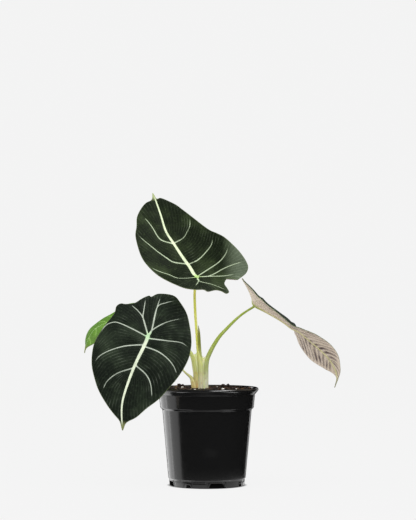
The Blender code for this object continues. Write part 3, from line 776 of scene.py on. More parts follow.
def natural_veins(length, half_width, lobe):
    """Veins by the species' habit: pairs that leave the midrib at rising places and bend tipwards.

    The pair that starts at the share s of the midrib ends at the half width times 1 - s^1.6
    across and a fifth of the length further on. Two more pairs feed the lobes.
    """
    starts = np.array([0.0, 0.16, 0.36, 0.57, 0.77])
    end_across = half_width * (1 - starts**1.6) * 0.93
    end_along = length * (starts + 0.19 * (1 - starts * 0.5))
    routes = []
    for start, across, along in zip(starts * length, end_across, end_along):
        middle = (across * 0.55, start + (along - start) * 0.3)
        routes.append([(0.0, start), middle, (across, along)])
    lobes = [
        [(0.0, 0.0), (half_width * 0.22, lobe * 0.75), (half_width * 0.30, lobe * 0.97)],
        [(0.0, 0.0), (half_width * 0.30, lobe * 0.55), (half_width * 0.66, lobe * 0.85)],
        [(0.0, 0.0), (half_width * 0.5, lobe * 0.12), (half_width * 0.88, lobe * 0.10)],
    ]
    right = lobes + routes
    left = [[(-x, y) for x, y in route] for route in right]
    midrib = [(0, lobe * 0.8), (0, 0), (0, length / 2), (0, length)]
    return {"midrib": midrib, "left": left, "right": right}


RIGHT_VEINS = natural_veins(length=122, half_width=51, lobe=-28)
LEFT_VEINS = natural_veins(length=60, half_width=27, lobe=-23)
print("side veins drawn:", sum(len(v["left"]) + len(v["right"]) for v in (FRONT_VEINS, TOP_VEINS)))

# %% [markdown]
# ## A blade as a grid
# A square grid is pulled over the outline like a cloth over a plate, so no point of the blade
# is a pole where many faces meet. Rows crowd towards the margin, where the sheet thins to a
# round edge.

# %% The grid over an outline
EDGE_PLACES = 600


def disk_grid(cells):
    """A square grid laid over a disk: each node's share of the radius, and its turn from 0 to 1.

    The share is the larger of |a| and |b| on the square. The turn runs evenly round its rim.
    """
    line = np.linspace(-1, 1, cells + 1)
    a, b = np.meshgrid(line, line, indexing="ij")
    share = np.maximum(np.abs(a), np.abs(b))
    wide = np.abs(a) >= np.abs(b)
    safe_a, safe_b = np.where(a == 0, 1, a), np.where(b == 0, 1, b)
    angle = np.where(wide, b / safe_a / 8, 0.25 - a / safe_b / 8)
    angle = angle + np.where(np.where(wide, a, b) < 0, 0.5, 0)
    return share, angle % 1.0


def crowd(share):
    """Rows closer together near the margin: 1 - (1 - s)(1 - 0.6 exp(-(1 - s) / 0.05))."""
    return 1 - (1 - share) * (1 - 0.6 * np.exp(-(1 - share) / 0.05))


def nearest(space, drawn, line_space, line_drawn):
    """Distance from points to a line of segments, the place along it from 0 to 1, and the side.

    The foot of each point on each segment a to b is a + t (b - a), with t held between 0 and
    1. The side is the sign of the cross product with the nearest segment as drawn.
    """
    a, b = line_space[:-1], line_space[1:]
    run = b - a
    offset = space[:, None, :] - a[None]
    t = np.clip((offset * run).sum(-1) / (run * run).sum(-1), 0, 1)
    away = np.linalg.norm(offset - t[..., None] * run, axis=-1)
    pick = away.argmin(axis=1)
    rows = np.arange(len(space))
    run_drawn = np.diff(line_drawn, axis=0)[pick]
    to_point = drawn - line_drawn[:-1][pick]
    side = run_drawn[:, 0] * to_point[:, 1] - run_drawn[:, 1] * to_point[:, 0]
    return away[rows, pick], (pick + t[rows, pick]) / len(a), np.sign(side)


print("crowded share at 0.9:", round(float(crowd(0.9)), 3))

# %% [markdown]
# For each grid point the distance to every vein is worked out in space. The distances are
# kept on the points, so the finish can paint crisp veins at any size.

# %% Distances to the veins
VEIN_PLACES = 28
OVERRUN = 30.0
MIDRIB_HALF_WIDTHS = (1.9, 0.55)
SIDE_HALF_WIDTHS = (0.66, 0.27)
FINE_VEIN_SPACING = 3.3


def vein_line(route, pose, overrun=0.0):
    """A vein's route as drawn and in space, with a straight run past its end to sort sides by."""
    drawn = smooth_curve(route, VEIN_PLACES)
    if overrun:
        way = drawn[-1] - drawn[-3]
        drawn = np.vstack([drawn, drawn[-1] + way / np.linalg.norm(way) * overrun])
    return pose(drawn[:, 0], drawn[:, 1]), drawn


def side_fields(space, drawn, sign, routes, pose, mid_distance, widths):
    """Vein clearance and fine-vein count on one side of the midrib.

    A point between the neighbours p and q, at the distances dp and dq, has the share
    dp / (dp + dq). The fine-vein count grows by a whole number from each vein to the next.
    """
    clearance = np.full(len(space), 99.0)
    beyond, distances = [], [mid_distance]
    start_width, end_width = widths
    for route in routes:
        line_space, line_drawn = vein_line(route, pose, OVERRUN)
        distance, place, side = nearest(space, drawn, line_space, line_drawn)
        last = (VEIN_PLACES - 1) / VEIN_PLACES
        width = start_width + (end_width - start_width) * np.minimum(place / last, 1)
        faded = width * blend_in(last + 0.004, last * 0.86, place)
        faded = faded - 1.2 * blend_in(last * 0.94, last + 0.01, place)
        clearance = np.minimum(clearance, distance - faded)
        beyond.append(side * sign > 0)
        distances.append(distance)
    distances.append(mid_distance)
    sector = np.sum(beyond, axis=0)
    rows = np.arange(len(space))
    stack = np.stack(distances)
    before, after = stack[sector, rows], stack[sector + 1, rows]
    share = before / (before + after + 1e-6)
    count = np.zeros(len(space))
    total = 0
    for index in range(len(routes) + 1):
        inside = sector == index
        spread = np.percentile((before + after)[inside], 80) if inside.any() else 0
        lines = 2 * max(1, round(float(spread) / FINE_VEIN_SPACING / 2))
        count[inside] = total + lines * share[inside]
        total += lines
    return clearance, count


def vein_fields(space, drawn, veins, pose, scale):
    """Clearance to the nearest vein in millimetres, and the fine-vein count, for a whole blade."""
    line_space, line_drawn = vein_line(veins["midrib"], pose)
    distance, place, side = nearest(space, drawn, line_space, line_drawn)
    joint_place = nearest(joint_of(pose), np.zeros((1, 2)), line_space, line_drawn)[1][0]
    onward = np.clip((place - joint_place) / (1 - joint_place), 0, 1)
    start_width, end_width = MIDRIB_HALF_WIDTHS
    width = (start_width + (end_width - start_width) * onward**0.8) * scale
    width = width - (width + 0.6) * blend_in(joint_place, joint_place - 0.03, place)
    clearance = distance - width
    count = np.zeros(len(space))
    side_widths = tuple(w * scale for w in SIDE_HALF_WIDTHS)
    for name, sign in (("left", -1), ("right", 1)):
        mine = side > 0 if name == "left" else side <= 0
        here = (space[mine], drawn[mine], sign, veins[name], pose, distance[mine], side_widths)
        fields = side_fields(*here)
        clearance[mine] = np.minimum(clearance[mine], fields[0])
        count[mine] = fields[1]
    return clearance, count, distance


print("fine veins lie about", FINE_VEIN_SPACING, "mm apart")

# %% [markdown]
# The finish of a leaf follows what the leaf is made of. The upper side is covered with tiny
# dome-shaped cells that trap light, so it is nearly black face on and glows softly where the
# surface turns away. The sheen of the shader does that, and on the top leaf a lighter, greyer
# band towards the right is painted sheen. The veins have no such cells and stay pale.
# Underneath the skin is smooth, paler and flushed with purple.

# %% Leaf finishes


def leaf_masks(start):
    """Shared masks of a leaf: its veins, its fine vein lines and its rim, each 0 to 1."""
    vein = start.field("vein").between(0.22, -0.22)
    fine = start.field("rib").from_line().between(0.16, 0.02)
    rim = start.field("edge").between(0.75, 0.25)
    return vein, fine, rim


def velvet(panel, panel_light, veins, joint_colour, tip_colour, rim_colour, painted_sheen_side=0.0):
    """A recipe for a velvety upper side. The pair of vein colours is for side veins and midrib.

    The painted sheen side is how much lighter the leaf is painted towards the right, from 14
    to 34 mm out: painted sheen where the surface turns away.
    """

    def recipe(start):
        vein, fine, rim = leaf_masks(start)
        halo = start.field("vein").between(2.2, 0.0)
        cloud = start.noise(42, detail=4)
        patch = start.noise(85, detail=3)
        fleck = start.noise(420, detail=3, roughness=0.65)
        # Painted sheen: towards the right the leaf is painted lighter, greyer and more finely
        # striped, below.
        pale = start.coordinate("X").between(0.014, 0.034) * painted_sheen_side
        lighter = cloud.between(0.42, 0.72) * 0.4 + fleck.between(0.5, 0.8) * 0.45 + pale
        colour = (lighter + halo * 0.12).mix(panel, panel_light)
        colour = (pale * (fleck * 0.5 + 0.2)).mix(colour, tint(112, 120, 108))
        fine_strength = fine * (patch.between(0.5, 0.75) * 0.10 + 0.015 + pale * 0.07)
        colour = fine_strength.mix(colour, veins[0])
        colour = (rim * 0.5).mix(colour, rim_colour)
        vein_tone = start.noise(160, detail=3).between(0.3, 0.75)
        paint = start.field("midrib").between(2.4, 1.0).mix(veins[0], veins[1])
        near_joint = start.field("joint").between(8.0, 1.0)
        paint = (near_joint * 0.7).mix(paint, joint_colour)
        colour = (vein * (0.78 + vein_tone * 0.22)).mix(colour, paint)
        colour = start.field("tip").between(11.0, 4.0).mix(colour, tip_colour)
        rough = 0.62 + fleck * 0.2 - vein * 0.15
        domes = start.node(
            "ShaderNodeTexVoronoi", inputs={"Vector": start.place(), "Scale": 2300}
        )
        height = domes * (1 - vein * 0.8) * 0.5 - fine * 0.15
        return {"Base Color": colour, "Roughness": rough, "Height": height, "Depth": 0.06}

    return recipe


def underside(skin, flush, vein_colour, joint_colour, tip_colour, rim_colour):
    """A recipe for a smooth underside: skin flushed in bands between the veins, and pale ribs."""

    def recipe(start):
        vein, fine, rim = leaf_masks(start)
        cloud = start.noise(60, detail=4)
        fleck = start.noise(500, detail=3)
        band = (start.field("rib") * 0.5).from_line().between(0.05, 0.46)
        away = start.field("joint").between(10.0, 75.0)
        inner = start.field("edge").between(0.5, 6.0)
        blush = cloud.between(0.35, 0.65)
        amount = (band * 0.75 + 0.25) * (0.35 + blush * 0.65) * (0.08 + away)
        colour = (amount * (0.45 + inner * 0.55)).mix(skin, flush)
        colour = (fine * 0.12).mix(colour, vein_colour)
        colour = (rim * 0.6).mix(colour, rim_colour)
        near_joint = start.field("joint").between(14.0, 2.0)
        midrib = start.field("midrib").between(3.3, 1.7) * 0.9
        colour = (vein * 0.6).mix(colour, near_joint.mix(vein_colour, joint_colour))
        colour = midrib.mix(colour, near_joint.mix(vein_colour, joint_colour))
        colour = start.field("tip").between(13.0, 5.0).mix(colour, tip_colour)
        rough = 0.42 + cloud * 0.15 + fleck * 0.08
        return {"Base Color": colour, "Roughness": rough, "Height": fleck - fine, "Depth": 0.012}

    return recipe


VELVET_SHEEN = {
    "Sheen Weight": 0.08,
    "Sheen Roughness": 0.35,
    "Sheen Tint": (*tint(190, 205, 185), 1.0),
    "Specular IOR Level": 0.07,
}
SKIN = {"Specular IOR Level": 0.4}
velvet_front = finish(
    "velvet_leaf_front",
    velvet(
        panel=tint(16, 23, 15), panel_light=tint(56, 68, 49),
        veins=(tint(186, 194, 178), tint(224, 232, 204)), joint_colour=tint(170, 212, 156),
        tip_colour=tint(120, 125, 80), rim_colour=tint(120, 135, 88),
    ),
    **VELVET_SHEEN,
)
velvet_top = finish(
    "velvet_leaf_top",
    velvet(
        panel=tint(17, 25, 10), panel_light=tint(60, 74, 42),
        veins=(tint(186, 200, 168), tint(226, 238, 198)), joint_colour=tint(172, 214, 92),
        tip_colour=tint(160, 170, 120), rim_colour=tint(95, 110, 66), painted_sheen_side=1.0,
    ),
    **VELVET_SHEEN,
)
young_top = finish(
    "young_leaf_top",
    velvet(
        panel=tint(84, 124, 40), panel_light=tint(128, 166, 78),
        veins=(tint(168, 204, 120), tint(186, 216, 150)), joint_colour=tint(190, 215, 150),
        tip_colour=tint(140, 146, 90), rim_colour=tint(134, 128, 88),
    ),
    **{**VELVET_SHEEN, "Sheen Weight": 0.04},
)
mauve_under = finish(
    "leaf_underside",
    underside(
        skin=tint(236, 217, 196), flush=tint(78, 52, 54), vein_colour=tint(220, 213, 160),
        joint_colour=tint(170, 184, 70), tip_colour=tint(150, 148, 112),
        rim_colour=tint(122, 130, 104),
    ),
    **SKIN,
)
green_under = finish(
    "young_leaf_underside",
    underside(
        skin=tint(150, 175, 115), flush=tint(120, 110, 85), vein_colour=tint(190, 205, 140),
        joint_colour=tint(185, 195, 110), tip_colour=tint(150, 160, 90),
        rim_colour=tint(150, 165, 100),
    ),
    **SKIN,
)

# %% [markdown]
# The nearest vein also shapes the surface. The panels between the veins swell a little, and
# the veins lie in soft valleys above and stand out as ribs below.

# %% The blade maker
BLADE_THICKNESS = 0.95
EDGE_ROUND = 0.8
PANEL_SWELL = 0.55
VALLEY_DEPTH = 0.35
RIB_HEIGHT = 0.9
RIPPLE_HEIGHT = 0.022
CORD_HEIGHT = 0.22
SWELL_REACH = 4.0
VALLEY_REACH = 1.8
RIB_REACH = 0.8
MARGIN_BAND = 6
HEFTY_REACH = 60


def posed_normals(pose, across, up):
    """Unit normals of a posed sheet: the cross product of its changes along across and up."""
    step = 0.25
    along = pose(across + step, up) - pose(across - step, up)
    upwards = pose(across, up + step) - pose(across, up - step)
    normal = np.cross(along, upwards)
    return normal / np.linalg.norm(normal, axis=-1, keepdims=True)


def distance_to(points, targets):
    """Distance of each point from the nearest target, in parts that fit in memory."""
    gaps = []
    for part in np.array_split(points, MEMORY_PARTS):
        gaps.append(np.linalg.norm(part[:, None] - targets[None], axis=-1).min(axis=1))
    return np.concatenate(gaps)


def skin_offsets(fields, vein_scale):
    """How far the upper and the lower skin lie from the posed sheet, from a blade's fields.

    The upper skin lies at + t/2 + swell - valley along the normal, and the lower one at
    - t/2 - rib. The half thickness t/2 falls as sqrt(1 - (1 - e/r)^2) at the distance e from
    the margin, within r of it. A rib is an exp(-(d/w)^2) hump that is highest at the midrib.
    """
    clearance = fields["vein"]
    near_rim = np.clip(fields["edge"] / EDGE_ROUND, 0, 1)
    half = BLADE_THICKNESS / 2 * np.sqrt(1 - (1 - near_rim) ** 2)
    away = np.maximum(clearance, 0)
    inner = blend_in(0, MARGIN_BAND, fields["edge"])
    swell = PANEL_SWELL * (1 - np.exp(-((away / SWELL_REACH) ** 2))) * inner
    ripple = RIPPLE_HEIGHT * np.cos(2 * np.pi * fields["rib"]) * blend_in(0.5, 2.5, away) * inner
    valley = VALLEY_DEPTH * np.exp(-((away / VALLEY_REACH) ** 2)) * inner
    cord = CORD_HEIGHT * blend_in(0.5, -0.8, clearance) * inner
    upper = half + swell - valley + cord - ripple
    heft = 1 + 0.9 * blend_in(HEFTY_REACH, 0, fields["joint"])
    rib = RIB_HEIGHT * (0.45 + 0.75 * blend_in(4.0, 0.5, fields["midrib"]) * heft) * vein_scale
    rib = rib * np.exp(-((away / RIB_REACH) ** 2)) * blend_in(0.5, -0.4, clearance) ** 0.5
    lower = half - swell * 0.8 + rib * inner + ripple
    return upper, np.where(near_rim > 0, np.maximum(lower, -upper + 0.35 * near_rim), 0)


def blade(name, node, outline, pose, veins, cells, upper_way, finishes, vein_scale=1.0):
    """A leaf blade between an upper and a lower skin that meet in a round margin.

    A grid point with the share s and the turn t is drawn at s times the outline's point at t.
    """
    share, turn = disk_grid(cells)
    edge = smooth_curve(outline, EDGE_PLACES, closed=True)
    edge = np.vstack([edge, edge[:1]])
    places = np.linspace(0, 1, len(edge))
    across, up = (crowd(share) * np.interp(turn, places, edge[:, i]) for i in (0, 1))
    sheet = pose(across, up)
    normal = posed_normals(pose, across, up)
    if (normal.reshape(-1, 3) @ np.asarray(upper_way, float)).sum() < 0:
        normal = -normal
    space = sheet.reshape(-1, 3)
    drawn = np.column_stack([across.ravel(), up.ravel()])
    clearance, count, mid_distance = vein_fields(space, drawn, veins, pose, vein_scale)
    fields = {"vein": clearance, "midrib": mid_distance, "rib": count}
    fields["edge"] = distance_to(space, pose(edge[:, 0], edge[:, 1]))
    fields["joint"] = distance_to(space, joint_of(pose))
    fields["tip"] = distance_to(space, pose(edge[:1, 0], edge[:1, 1]))
    upper, lower = (offset.reshape(share.shape) for offset in skin_offsets(fields, vein_scale))
    points, faces, inside = two_skins(sheet, normal, upper, lower)
    fields = {key: np.concatenate([value, value[inside]]) for key, value in fields.items()}
    which = np.repeat([0, 1], len(faces[0]))
    make_piece(name, points, faces, finishes, [node], fields, which)


blade(
    "velvet_blade_front", "blade_front", FRONT_OUTLINE, front_pose, FRONT_VEINS,
    cells=186, upper_way=(0, -1, 0.3), finishes=[velvet_front, mauve_under],
)
blade(
    "velvet_blade_top", "blade_top", TOP_OUTLINE, top_pose, TOP_VEINS,
    cells=186, upper_way=(0, -1, 0.5), finishes=[velvet_top, mauve_under],
)
blade(
    "velvet_blade_right", "blade_right", RIGHT_OUTLINE, right_pose, RIGHT_VEINS,
    cells=170, upper_way=(0, 0, 1), finishes=[velvet_front, mauve_under],
)
blade(
    "young_blade_left", "blade_left", LEFT_OUTLINE, left_pose, LEFT_VEINS,
    cells=110, upper_way=(0, 0, 1), finishes=[young_top, green_under], vein_scale=0.7,
)

# %% [markdown]
# ## The stalks
# Each stalk starts as a sheath that clasps the one inside it, narrows to a round stem and
# meets its blade underneath. A loft does this: sections set square to a centre line. The
# section is a superellipse with a few faint ridges, for the strands that run along the stem.

# %% The loft
RIDGE_COUNT = 9


def loft_points(stations, rings, sides, ridges):
    """Rings of points round a centre line through (x, y, z, half width, half depth, squareness).

    A ring point at the turn a lies cos(a)^p half widths across and sin(a)^p half depths back,
    with p = 1 - squareness / 2, and stands out by 1 + ridges cos(9 a).
    """
    read = smooth_curve(stations, rings)
    centre, half_width, half_depth, squareness = read[:, :3], read[:, 3], read[:, 4], read[:, 5]
    tangent = np.gradient(centre, axis=0)
    tangent /= np.linalg.norm(tangent, axis=1, keepdims=True)
    wide = np.cross([0.0, 1.0, 0.0], tangent)
    wide /= np.linalg.norm(wide, axis=1, keepdims=True)
    deep = np.cross(tangent, wide)
    turn = np.linspace(0, 2 * np.pi, sides, endpoint=False)
    power = (1 - 0.5 * squareness)[:, None]
    strand = 1 + ridges * np.cos(RIDGE_COUNT * turn)
    across = np.sign(np.cos(turn)) * np.abs(np.cos(turn)) ** power * half_width[:, None] * strand
    back = np.sign(np.sin(turn)) * np.abs(np.sin(turn)) ** power * half_depth[:, None] * strand
    return centre[:, None] + across[..., None] * wide[:, None] + back[..., None] * deep[:, None]


def lofted(name, node, stations, rings, sides, look, ridges, closing):
    """A closed loft. Its last ring is drawn in to a small cap by the closing share."""
    points = loft_points(stations, rings, sides, ridges)
    ends = [points[0].mean(axis=0), points[-1].mean(axis=0)]
    cap = ends[1] + (points[-1] - ends[1]) * closing
    points, faces = closed_rings(np.concatenate([points, cap[None]]), *ends)
    make_piece(name, points, faces, [look], [node])


def seat_on(pose, upper_way, depth):
    """A point under the blade's joint, this deep below the posed sheet, and the upward normal."""
    normal = posed_normals(pose, np.zeros(1), np.zeros(1))[0]
    normal = normal * np.sign(normal @ np.asarray(upper_way, float))
    return joint_of(pose)[0] - normal * depth, normal


top_seat, _ = seat_on(top_pose, (0, -1, 1), 5)
print("5 mm below the top leaf's joint is", np.round(top_seat, 1))

# %% [markdown]
# A stalk is yellow-green above and paler where its sheath wraps it. Near the soil it has
# reddish blotches. One recipe mixes these by height, and each stalk has its own colours.

# %% Stalk finishes


def stalk(upper, sheath, base, blotch, blotch_amount, sheath_top=0.132, base_top=0.121):
    """A recipe for a stalk: its stem's colour, paler in the sheath, blotched near the soil."""

    def recipe(start):
        height = start.coordinate("Z")
        strand = start.noise(500, detail=2, stretch=(1, 1, 0.06))
        cloud = start.noise(170, detail=4, roughness=0.6)
        wavy = height + (cloud - 0.5) * 0.012
        colour = wavy.between(sheath_top - 0.014, sheath_top + 0.016).mix(sheath, upper)
        colour = (wavy.between(base_top, base_top - 0.018)).mix(colour, base)
        low = height.between(base_top, base_top - 0.013)
        spots = cloud.between(0.52, 0.68) * low * blotch_amount
        colour = spots.mix(colour, blotch)
        pale_line = strand.between(0.5, 0.8) * 0.22
        colour = pale_line.mix(colour, tint(240, 242, 205))
        rough = 0.36 + strand * 0.14
        return {"Base Color": colour, "Roughness": rough, "Height": strand, "Depth": 0.05}

    return recipe


STALK_SKIN = {
    "Subsurface Weight": 0.25,
    "Subsurface Radius": (0.6, 0.8, 0.25),
    "Subsurface Scale": 0.002,
}
stalk_top_look = finish(
    "stalk_yellow_green",
    stalk(tint(226, 230, 108), tint(200, 206, 136), tint(226, 222, 184), tint(190, 130, 70), 0.3),
    **STALK_SKIN,
)
stalk_right_look = finish(
    "stalk_olive_green",
    stalk(tint(160, 178, 74), tint(174, 184, 118), tint(230, 232, 200), tint(160, 100, 60), 0.25),
    **STALK_SKIN,
)
stalk_front_look = finish(
    "stalk_leaf_green",
    stalk(tint(198, 210, 116), tint(196, 203, 124), tint(214, 202, 138), tint(196, 130, 62), 0.7),
    **STALK_SKIN,
)
stalk_left_look = finish(
    "stalk_tan",
    stalk(
        tint(206, 212, 146), tint(212, 210, 138), tint(222, 200, 128), tint(192, 122, 58), 0.9,
        sheath_top=0.112, base_top=0.112,
    ),
    **STALK_SKIN,
)

# %% [markdown]
# Each stalk is given by its stations from the soil upwards. The last two are worked out from
# the blade that it carries, so that it meets the blade square to its underside.

# %% The four stalks
STEM_FOOT = 92.0
LEAD = 5.0
JOINT_GAP = 0.3
FLARE = 1.25
STALKS = {
    "top": {
        "stations": [
            (-5.9, 0.0, STEM_FOOT, 2.2, 7.4, 0.6), (-6.2, 0.0, 108, 2.6, 6.6, 0.5),
            (-6.8, 0.0, 121, 2.7, 5.0, 0.3), (-8.2, 0.4, 132, 2.2, 3.2, 0.1),
            (-9.6, 0.9, 141, 1.5, 1.8, 0.0), (-10.2, 1.8, 149, 1.4, 1.5, 0.0),
            (-11.0, 3.8, 160, 1.35, 1.4, 0.0), (-11.9, 6.6, 172, 1.35, 1.35, 0.0),
            (-12.6, 9.2, 185, 1.35, 1.35, 0.0), (-12.6, 11.2, 198, 1.3, 1.3, 0.0),
        ],
        "pose": top_pose, "upper_way": (0, -1, 1), "radius": 1.4, "look": stalk_top_look,
    },
    "right": {
        "stations": [
            (-1.1, 0.0, STEM_FOOT, 2.3, 5.4, 0.5), (-1.1, 0.0, 108, 2.5, 5.0, 0.4),
            (-1.0, 0.0, 121, 2.5, 4.0, 0.2), (0.4, 0.0, 128.5, 2.3, 3.0, 0.0),
            (3.2, 0.0, 135, 2.2, 2.4, 0.0), (7.2, 0.0, 142.5, 2.0, 2.1, 0.0),
            (12.8, 0.0, 151, 1.8, 1.8, 0.0), (20.0, 0.0, 158.8, 1.6, 1.6, 0.0),
            (27.5, 0.0, 166.4, 1.4, 1.4, 0.0), (34.8, 0.0, 172.8, 1.2, 1.2, 0.0),
            (41.0, 0.0, 177.0, 1.1, 1.1, 0.0),
        ],
        "pose": right_pose, "upper_way": (0, 0, 1), "radius": 1.15, "look": stalk_right_look,
        "lead": 2.4,
    },
    "front": {
        "stations": [
            (-10.3, 0.0, STEM_FOOT, 2.1, 7.0, 0.5), (-11.3, 0.0, 108, 2.4, 6.0, 0.4),
            (-12.8, 0.0, 120, 2.4, 4.4, 0.3), (-14.6, 0.0, 129.5, 2.2, 3.0, 0.1),
            (-19.0, 0.0, 136.5, 1.9, 2.2, 0.0), (-29.0, 0.5, 142.5, 1.7, 1.7, 0.0),
            (-42.0, 0.0, 147.5, 1.5, 1.5, 0.0), (-53.0, -5.0, 149.5, 1.4, 1.4, 0.0),
        ],
        "pose": front_pose, "upper_way": (0, -1, 1), "radius": 1.5, "look": stalk_front_look,
    },
    "left": {
        "stations": [
            (-12.4, -3.2, STEM_FOOT, 3.2, 3.6, 0.3), (-12.8, -3.2, 99, 3.2, 3.8, 0.3),
            (-14.0, -2.4, 104.5, 2.8, 3.2, 0.1), (-16.6, -0.8, 109.4, 1.6, 2.0, 0.0),
            (-22.8, 1.8, 114.6, 0.95, 1.2, 0.0), (-30.0, 4.2, 123.0, 1.0, 1.1, 0.0),
            (-44.0, 9.5, 138.5, 1.1, 1.1, 0.0), (-62.0, 17.0, 153.0, 1.05, 1.05, 0.0),
        ],
        "pose": left_pose, "upper_way": (0, 0, 1), "radius": 1.05, "look": stalk_left_look,
    },
}
for name, plan in STALKS.items():
    depth = plan.get("lead", LEAD)
    lead, normal = seat_on(plan["pose"], plan["upper_way"], depth)
    seat = lead + normal * (depth - JOINT_GAP)
    thick = plan["radius"]
    flared = thick * FLARE
    route = [*plan["stations"], (*lead, thick, thick, 0.0), (*seat, flared, flared, 0.0)]
    lofted(
        f"stalk_{name}", f"petiole_{name}", route, rings=110, sides=36,
        look=plan["look"], ridges=0.035, closing=0.8,
    )

# %% [markdown]
# ## Sheaths and the rolled new leaf
# Where a stalk leaves its sheath, the sheath's edges end in thin, nearly clear webs that span
# to the next stalk.

# %% Webs between the stalks


def web_skin(start):
    cloud = start.noise(260, detail=3)
    strand = start.noise(420, detail=2, stretch=(1, 1, 0.08))
    streak = cloud * 0.6 + strand.between(0.5, 0.75) * 0.4
    colour = streak.mix(tint(232, 240, 186), tint(206, 214, 148))
    return {"Base Color": colour, "Roughness": 0.35 + cloud * 0.1, "Height": strand, "Depth": 0.04}


web_look = finish("sheath_web_skin", web_skin, **{**STALK_SKIN, "Subsurface Weight": 0.5})
WEB_THICKNESS = 0.35
WEB_PLACES = 60


def web(name, left_edge, right_edge, sag, bow, rows=26, columns=14):
    """A thin closed web between two edge lines: start + (end - start) u, dipping at the top.

    The place up the lines is v times 1 - sag * 4u(1 - u), and the web bows forward by
    b sqrt(1 - (2u - 1)^2), where b goes from the first number of bow at the foot to the second
    at the top. Its two skins are half a thickness either side and meet at the border.
    """
    v = np.linspace(0, 1, rows)[:, None]
    u = np.linspace(0, 1, columns)[None, :]
    up = v * (1 - sag * 4 * u * (1 - u))
    places = np.linspace(0, 1, WEB_PLACES)
    lines = [smooth_curve(edge, WEB_PLACES).T for edge in (left_edge, right_edge)]
    left, right = (
        np.stack([np.interp(up, places, column) for column in line], axis=-1) for line in lines
    )
    sheet = left + (right - left) * u[..., None]
    sheet[..., 1] -= (bow[0] + (bow[1] - bow[0]) * up) * np.sqrt(1 - (2 * u - 1) ** 2)
    normal = np.cross(np.gradient(sheet, axis=0), np.gradient(sheet, axis=1))
    normal /= np.linalg.norm(normal, axis=-1, keepdims=True)
    edge = np.minimum(np.minimum(u, 1 - u) * columns, np.minimum(v, 1 - v) * rows)
    half = WEB_THICKNESS / 2 * np.sqrt(np.clip(edge / 1.5, 0, 1))
    points, faces, _ = two_skins(sheet, normal, half, half)
    make_piece(name, points, faces, [web_look])


web(
    "sheath_web_front",
    left_edge=[(-11.2, -2.6, 107), (-12.9, -2.2, 118), (-16.2, -1.2, 134)],
    right_edge=[(-8.2, -2.6, 107), (-8.9, -2.0, 120), (-10.0, -0.4, 135)],
    sag=0.06, bow=(0.5, 0.5),
)
web(
    "sheath_web_right",
    left_edge=[(-4.2, -2.6, 106), (-5.4, -2.0, 119), (-6.8, -0.4, 134)],
    right_edge=[(-2.4, -2.4, 106), (-2.2, -2.0, 119), (0.6, -0.8, 132.5)],
    sag=0.12, bow=(0.5, 0.5),
)
web(
    "sheath_wrap",
    left_edge=[(-14.6, 1.0, 92), (-13.6, 0.8, 105), (-13.9, 0.6, 115)],
    right_edge=[(1.7, 1.0, 92), (1.1, 0.8, 103), (0.9, 0.6, 111)],
    sag=-0.03, bow=(8.2, 4.4), rows=40, columns=40,
)

# %% [markdown]
# The next leaf waits between the stalks as a tight olive roll. It is a loft too, and its faint
# ridges stand for the layers of the roll.

# %% The rolled new leaf


def rolled_skin(start):
    cloud = start.noise(200, detail=3, stretch=(1, 1, 0.25))
    height = start.coordinate("Z")
    lower = height.between(0.145, 0.130)
    colour = cloud.mix(tint(98, 104, 24), tint(142, 146, 44))
    colour = lower.mix(colour, tint(188, 196, 118))
    return {"Base Color": colour, "Roughness": 0.38 + cloud * 0.1, "Height": cloud, "Depth": 0.05}


ROLLED_STATIONS = [
    (-5.4, -1.0, 125.5, 1.0, 0.9, 0.0), (-6.8, -1.6, 134, 1.25, 1.2, 0.0),
    (-7.6, -1.6, 143, 1.3, 1.25, 0.0), (-7.9, -1.3, 151, 1.15, 1.1, 0.0),
    (-8.3, -0.8, 157, 0.8, 0.8, 0.0), (-8.8, 0.0, 162, 0.2, 0.2, 0.0),
]
lofted(
    "rolled_leaf", "new_leaf_spear", ROLLED_STATIONS, rings=50, sides=24,
    look=finish("rolled_leaf_skin", rolled_skin), ridges=0.06, closing=0.5,
)

# %% [markdown]
# ## Soil, bark and perlite
# A bark mix is mostly small crumbs, with larger bark chips and white perlite among them. Each
# is matt and rough, so its finish is one kind of noise, read through its own colours.

# %% Soil finishes


def crumbly(start):
    lump = start.noise(520, detail=5, roughness=0.65)
    cloud = start.noise(140, detail=3)
    stops = [
        (0.0, tint(14, 10, 8)), (0.45, tint(30, 20, 14)), (0.65, tint(52, 36, 23)),
        (0.85, tint(86, 62, 38)),
    ]
    colour = start.node(
        "ShaderNodeValToRGB", {"stops": stops}, {"Fac": lump * 0.75 + cloud * 0.3}, output="Color"
    )
    return {"Base Color": colour, "Roughness": 0.85 + cloud * 0.1, "Height": lump, "Depth": 0.5}


def grain_skin(start):
    each = start.field("grain")
    lump = start.noise(900, detail=3)
    stops = [
        (0.0, tint(16, 11, 9)), (0.45, tint(36, 24, 16)), (0.7, tint(60, 41, 26)),
        (0.9, tint(96, 66, 40)), (1.0, tint(150, 124, 88)),
    ]
    colour = start.node(
        "ShaderNodeValToRGB", {"stops": stops}, {"Fac": each + (lump - 0.5) * 0.2}, output="Color"
    )
    return {"Base Color": colour, "Roughness": 0.82 + lump * 0.12, "Height": lump, "Depth": 0.2}


def bark_skin(start):
    layer = start.noise(300, detail=4, stretch=(1, 1, 3.2))
    cloud = start.noise(700, detail=3)
    colour = layer.between(0.35, 0.7).mix(tint(18, 12, 11), tint(58, 34, 22))
    colour = (cloud.between(0.55, 0.75) * 0.5).mix(colour, tint(84, 56, 38))
    return {"Base Color": colour, "Roughness": 0.7 + cloud * 0.2, "Height": layer, "Depth": 0.4}


def perlite_skin(start):
    pore = start.noise(1500, detail=4, roughness=0.7)
    colour = pore.between(0.3, 0.6).mix(tint(196, 188, 176), tint(244, 242, 236))
    return {"Base Color": colour, "Roughness": 0.9 - pore * 0.1, "Height": pore, "Depth": 0.3}


def root_skin(start):
    ring = start.noise(260, detail=3, stretch=(1, 1, 4))
    colour = ring.mix(tint(110, 78, 50), tint(176, 140, 98))
    return {"Base Color": colour, "Roughness": 0.7 + ring * 0.15, "Height": ring, "Depth": 0.3}


